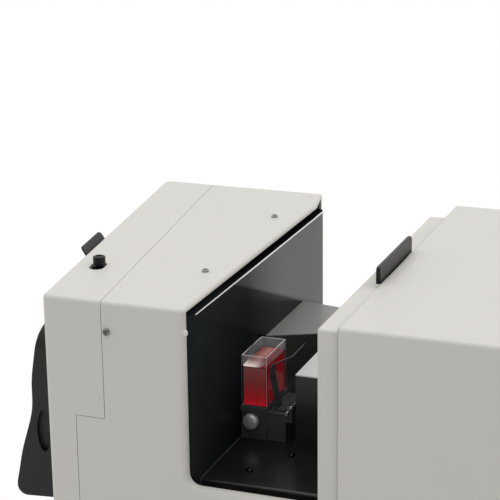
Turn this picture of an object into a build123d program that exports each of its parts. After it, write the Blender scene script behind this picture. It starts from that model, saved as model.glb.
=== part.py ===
from build123d import *
import math
import os

# Benchtop colorimeter with an integrating sphere and a sliding compartment cover.
# Frame: +X runs from the sample port (front) to the power inlet (rear), -Y is the
# near side, +Z is up. The origin is under the middle of the whole object's box,
# on the surface that the feet stand on. Millimetres.

# ---------------------------------------------------------------- driving sizes
body_width = 360.0
body_length = 560.0
body_height = 304.0
foot_height = 14.0
port_angle = 8.0            # the port face is turned by the sphere's viewing angle
wall = 3.0                  # moulded shells
edge_radius = 3.2           # along the top edges
corner_radius = 6.0         # upright edges of the port end
seam_gap = 0.5
fit_gap = 0.3               # between pieces that pass or hold each other
running_gap = 0.08          # round a pin, in the hub that turns on it

# light path
beam_inset = 137.0          # from the near side to the beam
beam_drop = 98.0            # from the top down to the beam
sphere_radius = 56.0        # white inside of the sphere
sphere_wall = 4.0
sphere_setback = 6.0        # from the port face to the sphere's port rim
sphere_flange_reach = 5.0
sphere_flange = 3.0
bolt_diameter = 3.0
bolt_head = 5.0
port_bore = 25.4
window_diameter = 30.0
window_thickness = 2.0

# front cap seam, measured from the near front corner
seam_station = 51.0
seam_low_station = 25.5
seam_step_drop = 98.0

# sample compartment
rim_station = 120.5
rim_depth = 9.0             # the rim is thicker than the wall over this length
rim_wall = 7.0
rim_top_wall = 3.5
rim_radius = 6.0
rim_far_setback = 8.5
rim_far_run = 40.0
sill_drop = 147.0
sill_rim_height = 6.0
opening_radius = 10.0
liner_station = 122.5
liner_depth = 22.5
liner_bend = 12.0
liner_near_inset = 12.0
liner_far_inset = 17.5
liner_drop = 9.8
liner_sheet = 1.5
floor_drop = 149.0
floor_near_inset = 24.0
floor_far_inset = 24.0
floor_bend = 2.5
compartment_end_station = 238.0
deck_drop = 168.0
deck_thickness = 3.0
seal_thickness = 8.0

# reference duct across the compartment
duct_drop = 80.0
duct_height = 40.0
duct_wall_near = 175.6
duct_wall_far = 276.0
duct_end_near = 231.0
duct_end_far = 254.7
duct_edge = 1.0

# lens box in the compartment
lens_box_station = 174.4
lens_box_width = 62.8
lens_box_drop = 84.0
lens_box_wall = 3.0
lens_box_lid = 1.0
lens_bore = 20.0
lens_window_diameter = 24.0

# cell, its holder and clamp
cell_station = 123.8
cell_path = 22.5
cell_width = 48.0
cell_height = 46.0
cell_glass = 1.25
cell_floor_drop = 121.3
liquid_depth = 36.0
seat_thickness = 3.0
seat_lip = 2.5
holder_length = 39.0
holder_ear = 2.4
holder_ear_fall = 10.0        # below the clamp's pivot
holder_step_length = 22.0
holder_step_height = 12.0
holder_step_reach = 1.5
thumb_diameter = 13.6
thumb_head = 6.0
thumb_shank = 5.0
thumb_shank_length = 12.0
thumb_station = 133.4
thumb_rise = 16.5           # above the compartment floor
clamp_pivot_station = 165.5
clamp_pivot_drop = 121.0
clamp_pin_diameter = 3.0
clamp_pin_reach = 6.0         # past the near ear
clamp_hub_diameter = 6.0
clamp_hub_length = 8.6
clamp_leaf = 1.2
clamp_leaf_width = 11.6
clamp_leaf_inset = 118.5
clamp_top_drop = 86.0
clamp_head = 8.0              # upright top of the leaf
clamp_lean = 6.0              # of the leaf below its head
finger_wire = 1.2
finger_station = 155.5
finger_bend_inset = 150.6
finger_end_inset = 186.0
clamp_touch_gap = 0.3
cell_spring_wire = 0.8
cell_spring_bore = 3.6
cell_spring_pitch = 1.5
cell_spring_turns = 3
cell_spring_short_leg = 2.0
cell_spring_long_leg = 15.0

# sliding cover
cover_inset = 3.9           # below the top and in from the near side
cover_far_inset = 31.0      # in from the far side
cover_wall = 2.5
cover_travel = 104.8
cover_stop_gap = 2.7
cover_length = 214.0
cover_bottom_drop = 142.5
cover_radius = 2.0
housing_station = 244.5
housing_lip_radius = 1.0       # front edge, where the sliding cover goes in
handle_thickness = 3.3
handle_length = 95.4
handle_inset = 112.0
handle_rise = 13.2          # above the top of the body
handle_back_gap = 0.6
handle_fall = 0.5             # below the top of the body, over the cover
foot_reach = 9.0              # of the handle's foot, in front of the grip
foot_rise = 6.5               # above the cover
foot_setback = 24.0           # from the near end of the grip
foot_border = 4.0             # from the far end of the grip
handle_radius = 2.5
handle_bevel = 1.2
rail_thickness = 5.0
rail_height = 42.0
rail_end_gap = 12.0
rail_clearance = 0.3
runner_wall = 3.0
runner_length = 20.0
runner_height = 18.0
runner_grip = 12.0
runner_tail_gap = 5.0
runner_spacing = 50.0

# front cowl, shelf, shutter and sample clamp, in the port face's own axes
cowl_width = 154.0
cowl_rise = 51.0            # above the beam
cowl_fall = 107.0           # below the beam
cowl_cheek = 9.0
cowl_hood = 14.0
cowl_base = 6.0
cowl_corner = 26.0
shelf_thickness = 14.0
shelf_reach = 53.5
shelf_nose = 9.0
cowl_waist = 36.0           # how far the cheeks stand out beside the port
cowl_shoulder = 26.0
hollow_width = 12.0
hollow_height = 38.0
hollow_reach = 27.0         # from the port face to the hollow's middle
hollow_fall = 46.0          # below the beam
hollow_depth = 5.0
port_ring_diameter = 72.0
port_ring_thickness = 3.0
port_opening = 44.0
shutter_width = 49.0
shutter_thickness = 1.6
shutter_gap = 0.4
shutter_travel = 52.0
shutter_overlap = 4.0
shutter_tab_rise = 3.2      # above the top of the body
shutter_tab_length = 9.0
shutter_tab_width = 50.6
shutter_tab_shift = 4.6       # toward the far side
shutter_tab_lean = 32.0
shutter_corner = 3.0
arm_width = 30.0
arm_thickness = 5.0
arm_pivot_reach = 38.0
arm_pivot_rise = 14.0       # above the shelf
arm_hub_diameter = 12.0
arm_pin_diameter = 5.0
pad_diameter = 34.0
pad_thickness = 6.0
pad_gap = 0.4
arm_spring_wire = 1.4
arm_spring_bore = 5.8
arm_spring_pitch = 2.2
arm_spring_turns = 5

# top lever
knob_station = 8.8
knob_inset = 86.6
knob_diameter = 10.4
knob_height = 6.8
knob_gap = 0.6
slot_width = 12.6
lever_travel = 8.0
rod_diameter = 5.0
rod_length = 46.0
flag_length = 14.0
flag_height = 12.0
flag_thickness = 2.0
shield_thickness = 1.0
guide_drop = 26.0
guide_thickness = 2.0
guide_width = 16.0

# fasteners
screw_head = 6.0
screw_head_height = 2.2
screw_shank = 3.0
screw_length = 8.0
screw_clearance = 0.4
near_screw_station = 55.7
near_screw_drop = 24.5
top_screws = ((99.8, 97.1), (97.4, 268.4))
floor_screws = ((154.4, 50.0), (176.5, 89.0))
tongue_length = 12.0
tongue_thickness = 2.0
tongue_height = 26.0

# base, pillars and feet
pan_sheet = 2.0
pan_lip = 18.0
foot_diameter = 30.0
foot_taper = 3.0
foot_inset_x = 52.0
foot_inset_y = 40.0
pillar_diameter = 10.0
pillar_inset = 26.0

# rear half
barrel_diameter = 44.0
barrel_wall = 3.0
barrel_length = 30.0
lens_thickness = 9.0
lens_edge = 4.0
case_length = 162.0
case_width = 220.0
case_far_inset = 70.0
case_top_drop = 40.0
case_wall = 4.0
case_lid = 3.0
mirror_diameter = 60.0
mirror_thickness = 10.0
mirror_stand = 18.0
grating_size = 40.0
grating_thickness = 8.0
sensor_width = 60.0
sensor_height = 40.0
board_thickness = 1.6
board_length = 96.0
board_width = 220.0
board_gap = 8.0
board_station = 160.0
board_inset = 70.0
# larger components: place on the board, length, width and height
board_parts = (
    (12, 20, 24, 24, 3), (52, 30, 14, 30, 9), (12, 80, 30, 18, 3),
    (52, 100, 20, 20, 12), (12, 140, 16, 40, 8), (56, 160, 18, 24, 4),
)
standoff_diameter = 6.0
supply_length = 96.0
supply_width = 160.0
supply_height = 45.0
supply_inset = 60.0
supply_slots = 6
lamp_length = 62.0
lamp_width = 92.0
lamp_gap = 1.0
lamp_top_drop = 62.0
lamp_station = 10.0
lamp_bore = 22.0
lamp_bore_depth = 48.0
lamp_base = 8.0
lamp_port = 26.0
lamp_tube_diameter = 14.0
lamp_tube_length = 36.0
lamp_fin_count = 7
lamp_fin_depth = 8.0
lamp_fin_gap = 5.0
panel_thickness = 2.5
panel_setback = 2.0
fan_size = 60.0
fan_thickness = 15.0
fan_inset = 290.0
fan_rise = 90.0             # above the bottom of the body
fan_bore = 56.0
fan_hub = 24.0
fan_spindle = 3.0
fan_blades = 7
fan_tip_gap = 1.0
fan_slot = 4.0
fan_slot_pitch = 8.0
inlet_inset = 60.0
inlet_rise = 40.0
inlet_width = 27.0
inlet_height = 20.0
inlet_flange_width = 32.0
inlet_flange_height = 25.0
inlet_flange = 2.0
inlet_depth = 22.0
socket_width = 24.4
socket_height = 16.4
socket_depth = 17.0
prong_height = 4.0
prong_width = 2.0
prong_spacing = 7.0
prong_length = 14.0
rocker_inset = 100.0
rocker_width = 13.0
rocker_height = 19.0
rocker_frame_wall = 1.6
rocker_depth = 14.0
rocker_rise = 2.0
rocker_throw = 14.0
rocker_pin = 2.0
rocker_pivot_depth = 5.0
data_inset = 130.0
data_width = 12.0
data_height = 10.5
data_depth = 16.0
data_wall = 0.8

# ---------------------------------------------------------------- derived places
slant = math.tan(math.radians(port_angle))
port_cos = math.cos(math.radians(port_angle))
port_sin = math.sin(math.radians(port_angle))
near_y = -body_width / 2
far_y = body_width / 2
base_z = foot_height
top_z = foot_height + body_height
front_reach = beam_inset * slant + cowl_width / 2 * port_sin + shelf_reach * port_cos
front_x = (front_reach - body_length) / 2
beam_y = near_y + beam_inset
beam_z = top_z - beam_drop
deck_z = top_z - deck_drop
floor_z = top_z - floor_drop
sill_z = top_z - sill_drop
cover_station = rim_station + cover_stop_gap + cover_travel


def station(distance):
    """X of a point this far behind the near front corner."""
    return front_x + distance


def inset(distance):
    """Y of a point this far in from the near side."""
    return near_y + distance


def drop(distance):
    """Z of a point this far below the top."""
    return top_z - distance


def block(x, y, z):
    """Box between two values along each axis."""
    centre = ((x[0] + x[1]) / 2, (y[0] + y[1]) / 2, (z[0] + z[1]) / 2)
    return Pos(*centre) * Box(x[1] - x[0], y[1] - y[0], z[1] - z[0])


def bar(start, direction, diameter, length):
    """Round bar from a point along a direction."""
    plane = Plane(origin=start, z_dir=direction)
    return extrude(plane * Circle(diameter / 2), amount=length)


def slanted(front, back, side, z):
    """Prism between two lines that run parallel to the port face."""
    points = []
    for distance, y in ((front, near_y + side), (back, near_y + side),
                        (back, far_y - side), (front, far_y - side)):
        points.append((station(distance) - (y - near_y) * slant, y))
    return prism(points, z)


def prism(points, z):
    """Upright prism on a plan outline."""
    outline = Pos(0, 0, z[0]) * Polygon(*points, align=None)
    return extrude(outline, amount=z[1] - z[0], dir=(0, 0, 1))


def upright_edges(shape, x, y):
    """Upright edges of a shape whose middle lies at a plan position."""
    found = []
    for edge in shape.edges().filter_by(Axis.Z):
        centre = edge.center()
        if abs(centre.X - x) < 0.6 and abs(centre.Y - y) < 0.6:
            found.append(edge)
    return found


port_x = station(0) - beam_inset * slant
port_face = Plane(origin=(port_x, beam_y, beam_z),
                  x_dir=(port_sin, -port_cos, 0),
                  z_dir=(-port_cos, -port_sin, 0))
sphere_offset = sphere_setback + math.sqrt(sphere_radius ** 2 - (port_opening / 2) ** 2)
sphere_x = port_x + sphere_offset * port_cos
sphere_y = beam_y + sphere_offset * port_sin
sphere_outer = sphere_radius + sphere_wall


# ---------------------------------------------------------------- fasteners
def pan_screw(head_point, outward, length=screw_length):
    """Pan-head screw with a cross recess; its head sits on the given point."""
    plane = Plane(origin=head_point, z_dir=outward)
    profile = Polyline((0, 0), (screw_head / 2, 0), (screw_head / 2, 0.5 * screw_head_height))
    dome = ThreePointArc((screw_head / 2, 0.5 * screw_head_height),
                         (0.36 * screw_head, 0.88 * screw_head_height),
                         (0, screw_head_height))
    close = Line((0, screw_head_height), (0, 0))
    head = revolve(Plane.XZ * make_face(profile + dome + close), axis=Axis.Z)
    slot = Box(0.62 * screw_head, 0.14 * screw_head, screw_head_height)
    cross = slot + Rot(0, 0, 90) * slot
    head -= Pos(0, 0, screw_head_height) * cross
    head += Pos(0, 0, -length / 2) * Cylinder(screw_shank / 2, length)
    return plane.location * head


def screw_hole(head_point, outward, depth):
    """Clearance hole under a screw's head."""
    plane = Plane(origin=head_point, z_dir=outward)
    hole = Cylinder((screw_shank + screw_clearance) / 2, 2 * depth)
    return plane.location * hole


def side_screw_places(distance, height):
    """Matching places on the near and the far side, with their outward directions."""
    return (((station(distance), near_y, height), (0, -1, 0)),
            ((station(distance), far_y, height), (0, 1, 0)))


seam_shift = body_width * slant
cap_screw_places = (
    ((station(near_screw_station), near_y, drop(near_screw_drop)), (0, -1, 0)),
    ((station(near_screw_station - seam_shift), far_y, drop(near_screw_drop)), (0, 1, 0)),
)
top_screw_places = tuple(((station(x), inset(y), top_z), (0, 0, 1)) for x, y in top_screws)
floor_screw_places = tuple(((station(x), inset(y), floor_z), (0, 0, 1))
                           for x, y in floor_screws)
pan_screw_z = base_z + 0.55 * pan_lip
low_screw_places = (side_screw_places(seam_low_station + 40, pan_screw_z)
                    + side_screw_places(housing_station + 40, pan_screw_z)
                    + side_screw_places(body_length - 40, pan_screw_z))


# ---------------------------------------------------------------- shells
def front_cap():
    """End cap with the slanted port face, a stepped seam and the lever slot."""
    cap = slanted(0, seam_station, 0, (drop(seam_step_drop), top_z))
    cap += slanted(0, seam_low_station, 0, (base_z, drop(seam_step_drop)))
    corners = upright_edges(cap, station(0), near_y)
    corners += upright_edges(cap, station(-seam_shift), far_y)
    cap = fillet(corners, corner_radius)
    top_face = cap.faces().sort_by(Axis.Z)[-1]
    rear_line = station(seam_station - seam_shift / 2)
    outer = [edge for edge in top_face.edges() if abs(edge.center().X - rear_line) > 1]
    cap = fillet(outer, edge_radius)
    cap -= slanted(wall, seam_station + wall, wall, (base_z - wall, top_z - wall))
    for (x, y, z), outward in cap_screw_places:
        side = 1 if outward[1] < 0 else -1
        inner = y + side * wall
        lap = block((x - tongue_length, x + tongue_length / 2),
                    sorted((inner + side * fit_gap, inner + side * (fit_gap + tongue_thickness))),
                    (z - tongue_height / 2, z + tongue_height / 2))
        root = block((x - tongue_length, x - (near_screw_station - seam_station) - 2),
                     sorted((inner - side * 0.5, inner + side * (fit_gap + tongue_thickness))),
                     (z - tongue_height / 2, z + tongue_height / 2))
        cap += lap + root
        cap -= screw_hole((x, y, z), outward, 4 * wall)
    cap -= port_face.location * Cylinder(port_opening / 2, 4 * wall)
    cap -= lever_slot(wall)
    return cap


def lever_axis():
    """Direction of the lever's travel, parallel to the port face, toward the near side."""
    return Vector(port_sin, -port_cos, 0)


def lever_slot(depth):
    """Oblong slot in the top, with the lever at its far end."""
    slot = SlotCenterToCenter(lever_travel, slot_width)
    middle = Vector(station(knob_station), inset(knob_inset), top_z)
    middle += lever_axis() * (lever_travel / 2)
    turned = Plane(origin=middle, x_dir=lever_axis(), z_dir=(0, 0, 1))
    return extrude(turned * slot, amount=2 * depth, both=True)


def main_cover():
    """Cover over the sphere, with the compartment's rim, and the sills beside the floor."""
    low = drop(seam_step_drop)
    shell = slanted(seam_station + seam_gap, rim_station + seam_shift, 0, (low, top_z))
    shell += slanted(seam_low_station + seam_gap, rim_station + seam_shift, 0,
                     (base_z, low - seam_gap))
    bridge = slanted(seam_station + seam_gap, rim_station + seam_shift, 0,
                     (low - 2 * seam_gap, low + seam_gap))
    shell += bridge
    rear_end = housing_station - seam_gap
    shell += block((station(rim_station) - 1, station(rear_end)), (near_y, far_y),
                   (base_z, sill_z))
    # the compartment's opening, rounded where the rim turns into the sill
    opening = block((station(rim_station), station(rear_end) + seam_shift + 1),
                    (near_y - 1, far_y + 1), (sill_z, top_z + 1))
    corner = [edge for edge in opening.edges().filter_by(Axis.Y)
              if edge.center().X < station(rim_station) + 1 and edge.center().Z < sill_z + 1]
    shell -= fillet(corner, opening_radius)
    shell -= block((station(rear_end), station(rear_end) + seam_shift + 1),
                   (near_y - 1, far_y + 1), (base_z - 1, top_z + 1))
    far_cut = prism([(station(rim_station), far_y - rim_far_run),
                     (station(rim_station) + 1, far_y - rim_far_run),
                     (station(rim_station) + 1, far_y + 1),
                     (station(rim_station - rim_far_setback), far_y + 1)],
                    (sill_z + opening_radius, top_z + 1))
    shell -= far_cut
    rim_edges = [edge for edge in shell.edges()
                 if abs(edge.center().Y - near_y) < 0.1
                 and edge.center().X > station(rim_station - 1)
                 and edge.center().X < station(rear_end) - 1
                 and edge.center().Z > base_z + 20]
    shell = fillet(rim_edges, rim_radius)
    top_face = shell.faces().sort_by(Axis.Z)[-1]
    seam_middle = station(seam_station + seam_gap - seam_shift / 2)
    outer = [edge for edge in top_face.edges() if abs(edge.center().X - seam_middle) > 1]
    shell = fillet(outer, edge_radius)
    # inside: the room for the sphere, the opening of the rim, and the room under the sills
    lip = rim_station - rim_depth
    hollow = slanted(seam_low_station - wall, lip + seam_shift, wall,
                     (base_z - 1, top_z - wall))
    hollow -= block((station(lip), station(rear_end) + seam_shift), (near_y, far_y),
                    (base_z - 2, top_z))
    shell -= hollow
    shell -= block((station(lip) - 1, station(rear_end) + 1),
                   (near_y + rim_wall, far_y - rim_wall), (base_z - 1, top_z - rim_top_wall))
    shell -= block((station(lip) - 1, station(rear_end) + 1),
                   (near_y + wall, far_y - wall), (base_z - 1, sill_z - sill_rim_height))
    for place, outward in cap_screw_places + top_screw_places + low_screw_places[:2]:
        shell -= screw_hole(place, outward, 2 * wall)
    return shell


def rear_housing():
    """Housing over the rear half; the sliding cover runs inside it."""
    shell = block((station(housing_station), station(body_length)), (near_y, far_y),
                  (base_z, top_z))
    front = station(housing_station)
    upright = [edge for edge in shell.edges().filter_by(Axis.Z) if edge.center().X > front + 1]
    shell = fillet(upright, edge_radius)
    top_face = shell.faces().sort_by(Axis.Z)[-1]
    shell = fillet([edge for edge in top_face.edges() if edge.center().X > front + 1],
                   edge_radius)
    lip = [edge for edge in shell.faces().sort_by(Axis.X)[0].edges()
           if edge.center().Z > base_z + 1]
    shell = fillet(lip, housing_lip_radius)
    shell -= block((station(housing_station) - 1, station(body_length) + 1),
                   (near_y + wall, far_y - wall), (base_z - 1, top_z - wall))
    for place, outward in low_screw_places[2:]:
        shell -= screw_hole(place, outward, 2 * wall)
    return shell


def rear_panel():
    """Rear panel with the fan's slots and the cut-outs for inlet, switch and data port."""
    x1 = station(body_length - panel_setback)
    x0 = x1 - panel_thickness
    panel = block((x0, x1), (near_y + wall + fit_gap, far_y - wall - fit_gap),
                  (base_z + pan_sheet + fit_gap, top_z - wall - fit_gap))
    fan_z = base_z + fan_rise
    count = int((fan_bore / 2 - fan_slot) / fan_slot_pitch)
    for index in range(-count, count + 1):
        z = fan_z + index * fan_slot_pitch
        half = math.sqrt((fan_bore / 2) ** 2 - (index * fan_slot_pitch) ** 2) - fan_slot / 2
        panel -= block((x0 - 1, x1 + 1), (inset(fan_inset) - half, inset(fan_inset) + half),
                       (z - fan_slot / 2, z + fan_slot / 2))
    for middle, width, height in ((inlet_inset, inlet_width, inlet_height),
                                  (rocker_inset, rocker_width + 2 * rocker_frame_wall,
                                   rocker_height + 2 * rocker_frame_wall),
                                  (data_inset, data_width, data_height)):
        width += fit_gap
        height += fit_gap
        z = base_z + inlet_rise
        panel -= block((x0 - 1, x1 + 1), (inset(middle) - width / 2, inset(middle) + width / 2),
                       (z - height / 2, z + height / 2))
    return panel


def sliding_cover():
    """Inverted U over the compartment, at rest drawn back into the rear housing."""
    x = (station(cover_station), station(cover_station + cover_length))
    y = (near_y + cover_inset, far_y - cover_far_inset)
    z = (drop(cover_bottom_drop), drop(cover_inset))
    cover = block(x, y, z)
    ridges = [edge for edge in cover.edges().filter_by(Axis.X) if edge.center().Z > z[1] - 1]
    cover = fillet(ridges, cover_radius)
    cover -= block((x[0] - 1, x[1] + 1), (y[0] + cover_wall, y[1] - cover_wall),
                   (z[0] - 1, z[1] - cover_wall))
    for place in handle_screw_places():
        cover -= screw_hole(place, (0, 0, -1), 2 * cover_wall)
    return cover


def handle_span():
    """X range of the handle, just in front of the rear housing."""
    back = station(housing_station - handle_back_gap)
    return back - handle_thickness, back


def handle_screw_places():
    """The handle's screws come from below, through the cover's top, into its foot."""
    x = handle_span()[0] - foot_reach / 2
    z = drop(cover_inset + cover_wall)
    ends = (handle_inset + foot_setback + foot_reach,
            handle_inset + handle_length - foot_border - foot_reach)
    return tuple((x, inset(y), z) for y in ends)


def cover_handle():
    """Upright grip with rounded corners and a bevelled top, on a foot in front of it."""
    x0, x1 = handle_span()
    y0 = inset(handle_inset)
    y1 = y0 + handle_length
    z0 = drop(cover_inset)
    z1 = top_z + handle_rise
    grip = block((x0, x1), (y0, y1), (drop(handle_fall), z1))
    grip = fillet(grip.edges().filter_by(Axis.X), handle_radius)
    ridge = [edge for edge in grip.faces().sort_by(Axis.X)[-1].edges()
             if edge.center().Z > z1 - 0.1]
    grip = chamfer(ridge, handle_bevel)
    grip += block((x0 - foot_reach, x1), (y0 + foot_setback, y1 - foot_border),
                  (z0, z0 + foot_rise))
    depth = screw_length - cover_wall + fit_gap
    for x, y, z in handle_screw_places():
        grip -= Pos(x, y, z0) * Cylinder((screw_shank + screw_clearance) / 2, 2 * depth)
    return grip


# ---------------------------------------------------------------- compartment
def compartment_wall():
    """Left wall of the compartment, bent round at its near and far edges."""
    x = (station(liner_station - liner_depth), station(liner_station))
    y = (near_y + liner_near_inset, far_y - liner_far_inset)
    z = (deck_z, drop(liner_drop))
    tray = block(x, y, z)
    bends = upright_edges(tray, x[1], y[0]) + upright_edges(tray, x[1], y[1])
    tray = fillet(bends, liner_bend)
    core = block((x[0] - 1, x[1] - liner_sheet), (y[0] + liner_sheet, y[1] - liner_sheet),
                 (z[0] - 1, z[1] - liner_sheet))
    inner_bends = upright_edges(core, x[1] - liner_sheet, y[0] + liner_sheet)
    inner_bends += upright_edges(core, x[1] - liner_sheet, y[1] - liner_sheet)
    tray -= fillet(inner_bends, liner_bend - liner_sheet)
    tray -= bar((x[1] + 1, beam_y, beam_z), (-1, 0, 0), window_diameter + fit_gap,
                liner_sheet + 2)
    return tray


def light_seal():
    """Foam in the groove between the shell and the compartment's wall."""
    x = (station(rim_station - rim_depth - seal_thickness), station(rim_station - rim_depth))
    outer = block(x, (near_y + wall, far_y - wall), (deck_z, top_z - wall))
    inner = block((x[0] - 1, x[1] + 1), (near_y + liner_near_inset, far_y - liner_far_inset),
                  (deck_z - 1, drop(liner_drop)))
    return outer - inner


def compartment_floor():
    """Floor with downturned near and far edges, and the upturned right wall."""
    x = (station(liner_station), station(compartment_end_station))
    y = (near_y + floor_near_inset, far_y - floor_far_inset)
    tray = block(x, y, (deck_z, floor_z))
    bends = [edge for edge in tray.edges().filter_by(Axis.X) if edge.center().Z > floor_z - 1]
    tray = fillet(bends, floor_bend)
    core = block((x[0] - 1, x[1] + 1), (y[0] + liner_sheet, y[1] - liner_sheet),
                 (deck_z - 1, floor_z - liner_sheet))
    tray -= core
    inner_far = far_y - cover_far_inset - cover_wall - 1
    tray += block((x[1] - liner_sheet, x[1]), (y[0], inner_far),
                  (floor_z - liner_sheet, drop(liner_drop)))
    tray -= bar((x[1] + 1, beam_y, beam_z), (-1, 0, 0), window_diameter + fit_gap,
                liner_sheet + 2)
    for sx, sy in floor_screws:
        tray -= screw_hole((station(sx), inset(sy), floor_z), (0, 0, 1), 4 * liner_sheet)
    return tray


def deck():
    """Black deck that carries the optics; it shows as the ledge beside the floor."""
    side = wall + seam_gap
    end = body_length - panel_setback - panel_thickness - seam_gap
    z = (deck_z - deck_thickness, deck_z)
    plate = slanted(side, end + seam_shift, side, z)
    return plate & block((station(-2 * seam_shift), station(end)), (near_y, far_y),
                         (z[0] - 1, z[1] + 1))


def reference_duct():
    """Tapered duct that brings the reference beam across the compartment."""
    x0 = station(liner_station)
    x1 = station(compartment_end_station) - liner_sheet
    top = drop(duct_drop)
    points = [(x0, inset(duct_wall_near)), (x1, inset(duct_end_near)),
              (x1, inset(duct_end_far)), (x0, inset(duct_wall_far))]
    duct = prism(points, (top - duct_height, top))
    ridges = [edge for edge in duct.edges() if edge.center().Z > top - 0.1
              and x0 + 1 < edge.center().X < x1 - 1]
    return fillet(ridges, duct_edge)


def lens_box():
    """Box round the transmission lens, with a window toward the cell."""
    x = (station(lens_box_station), station(compartment_end_station) - liner_sheet)
    y = (beam_y - lens_box_width / 2, beam_y + lens_box_width / 2)
    z = (floor_z, drop(lens_box_drop) - lens_box_lid)
    box = block(x, y, z)
    box -= block((x[0] + lens_box_wall + window_thickness, x[1] + 1),
                 (y[0] + lens_box_wall, y[1] - lens_box_wall),
                 (z[0] + lens_box_wall, z[1] + 1))
    box -= bar((x[0] - 1, beam_y, beam_z), (1, 0, 0), lens_bore, 2 * lens_box_wall + 4)
    box -= bar((x[0] + lens_box_wall, beam_y, beam_z), (1, 0, 0),
               lens_window_diameter + fit_gap, lens_box_wall + window_thickness)
    return box


def lens_box_cover():
    """Bright lid of the lens box."""
    x = (station(lens_box_station), station(compartment_end_station) - liner_sheet)
    y = (beam_y - lens_box_width / 2, beam_y + lens_box_width / 2)
    return block(x, y, (drop(lens_box_drop) - lens_box_lid, drop(lens_box_drop)))


def beam_windows():
    """Windows in the compartment's wall and in the lens box."""
    wall_window = bar((station(liner_station) - window_thickness, beam_y, beam_z), (1, 0, 0),
                      window_diameter, window_thickness)
    box_window = bar((station(lens_box_station) + lens_box_wall, beam_y, beam_z), (1, 0, 0),
                     lens_window_diameter, window_thickness)
    return Compound(children=[wall_window, box_window])


# ---------------------------------------------------------------- cell and holder
cell_centre_y = beam_y
cell_x0 = station(cell_station)
cell_x1 = cell_x0 + cell_path
cell_y0 = cell_centre_y - cell_width / 2
cell_y1 = cell_centre_y + cell_width / 2
cell_z = drop(cell_floor_drop)
seat_z = cell_z - seat_thickness
holder_x1 = cell_x0 + holder_length
leaf_x = cell_x1 + clamp_touch_gap
clamp_x = station(clamp_pivot_station)
clamp_z = drop(clamp_pivot_drop)


def sample_cell():
    """Open glass cell with flat windows."""
    glass = block((cell_x0, cell_x1), (cell_y0, cell_y1), (cell_z, cell_z + cell_height))
    glass -= block((cell_x0 + cell_glass, cell_x1 - cell_glass),
                   (cell_y0 + cell_glass, cell_y1 - cell_glass),
                   (cell_z + cell_glass, cell_z + cell_height + 1))
    return glass


def sample_liquid():
    """Liquid in the cell."""
    return block((cell_x0 + cell_glass, cell_x1 - cell_glass),
                 (cell_y0 + cell_glass, cell_y1 - cell_glass),
                 (cell_z + cell_glass, cell_z + cell_glass + liquid_depth))


def cell_seat():
    """Seat plate with a lip that keeps the cell from sliding off."""
    plate = block((cell_x0 - fit_gap, cell_x1 + fit_gap),
                  (cell_y0 - seat_lip, cell_y1 + seat_lip), (seat_z, cell_z + 1.2))
    plate -= block((cell_x0 - 1, cell_x1 + 1), (cell_y0 - fit_gap, cell_y1 + fit_gap),
                   (cell_z, cell_z + 2))
    return plate


def cell_holder():
    """Block under the cell, with a step, the thumb screw's hole and the clamp's ears."""
    base = block((cell_x0 - fit_gap, holder_x1), (cell_y0, cell_y1), (floor_z, seat_z))
    base += block((cell_x0 - fit_gap, cell_x0 + holder_step_length),
                  (cell_y0 - holder_step_reach, cell_y1), (floor_z, floor_z + holder_step_height))
    hub = clamp_hub_diameter / 2
    base -= block((clamp_x - hub - 1, holder_x1 + 1),
                  (cell_y0 + holder_ear, cell_y1 - holder_ear), (clamp_z - hub - 1, seat_z + 1))
    for y in (cell_y0, cell_y1 - holder_ear):
        ear = block((holder_x1 - 1, clamp_x + hub), (y, y + holder_ear),
                    (clamp_z - holder_ear_fall, clamp_z))
        ear += bar((clamp_x, y, clamp_z), (0, 1, 0), clamp_hub_diameter, holder_ear)
        base += ear
    base -= bar((clamp_x, cell_y0 - 1, clamp_z), (0, 1, 0), clamp_pin_diameter, cell_width + 2)
    hole_z = floor_z + thumb_rise
    base -= bar((station(thumb_station), cell_y0 - 3, hole_z), (0, 1, 0),
                thumb_shank + 2 * running_gap, thumb_shank_length + 4)
    return base


def thumb_screw():
    """Knurled-head screw that locks the holder."""
    x = station(thumb_station)
    z = floor_z + thumb_rise
    face = cell_y0 - holder_step_reach - fit_gap
    head = bar((x, face, z), (0, -1, 0), thumb_diameter, thumb_head)
    rim = [edge for edge in head.edges() if edge.center().Y < face - thumb_head + 0.1]
    head = chamfer(rim, 1.0)
    return head + bar((x, face, z), (0, 1, 0), thumb_shank, thumb_shank_length)


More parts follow.
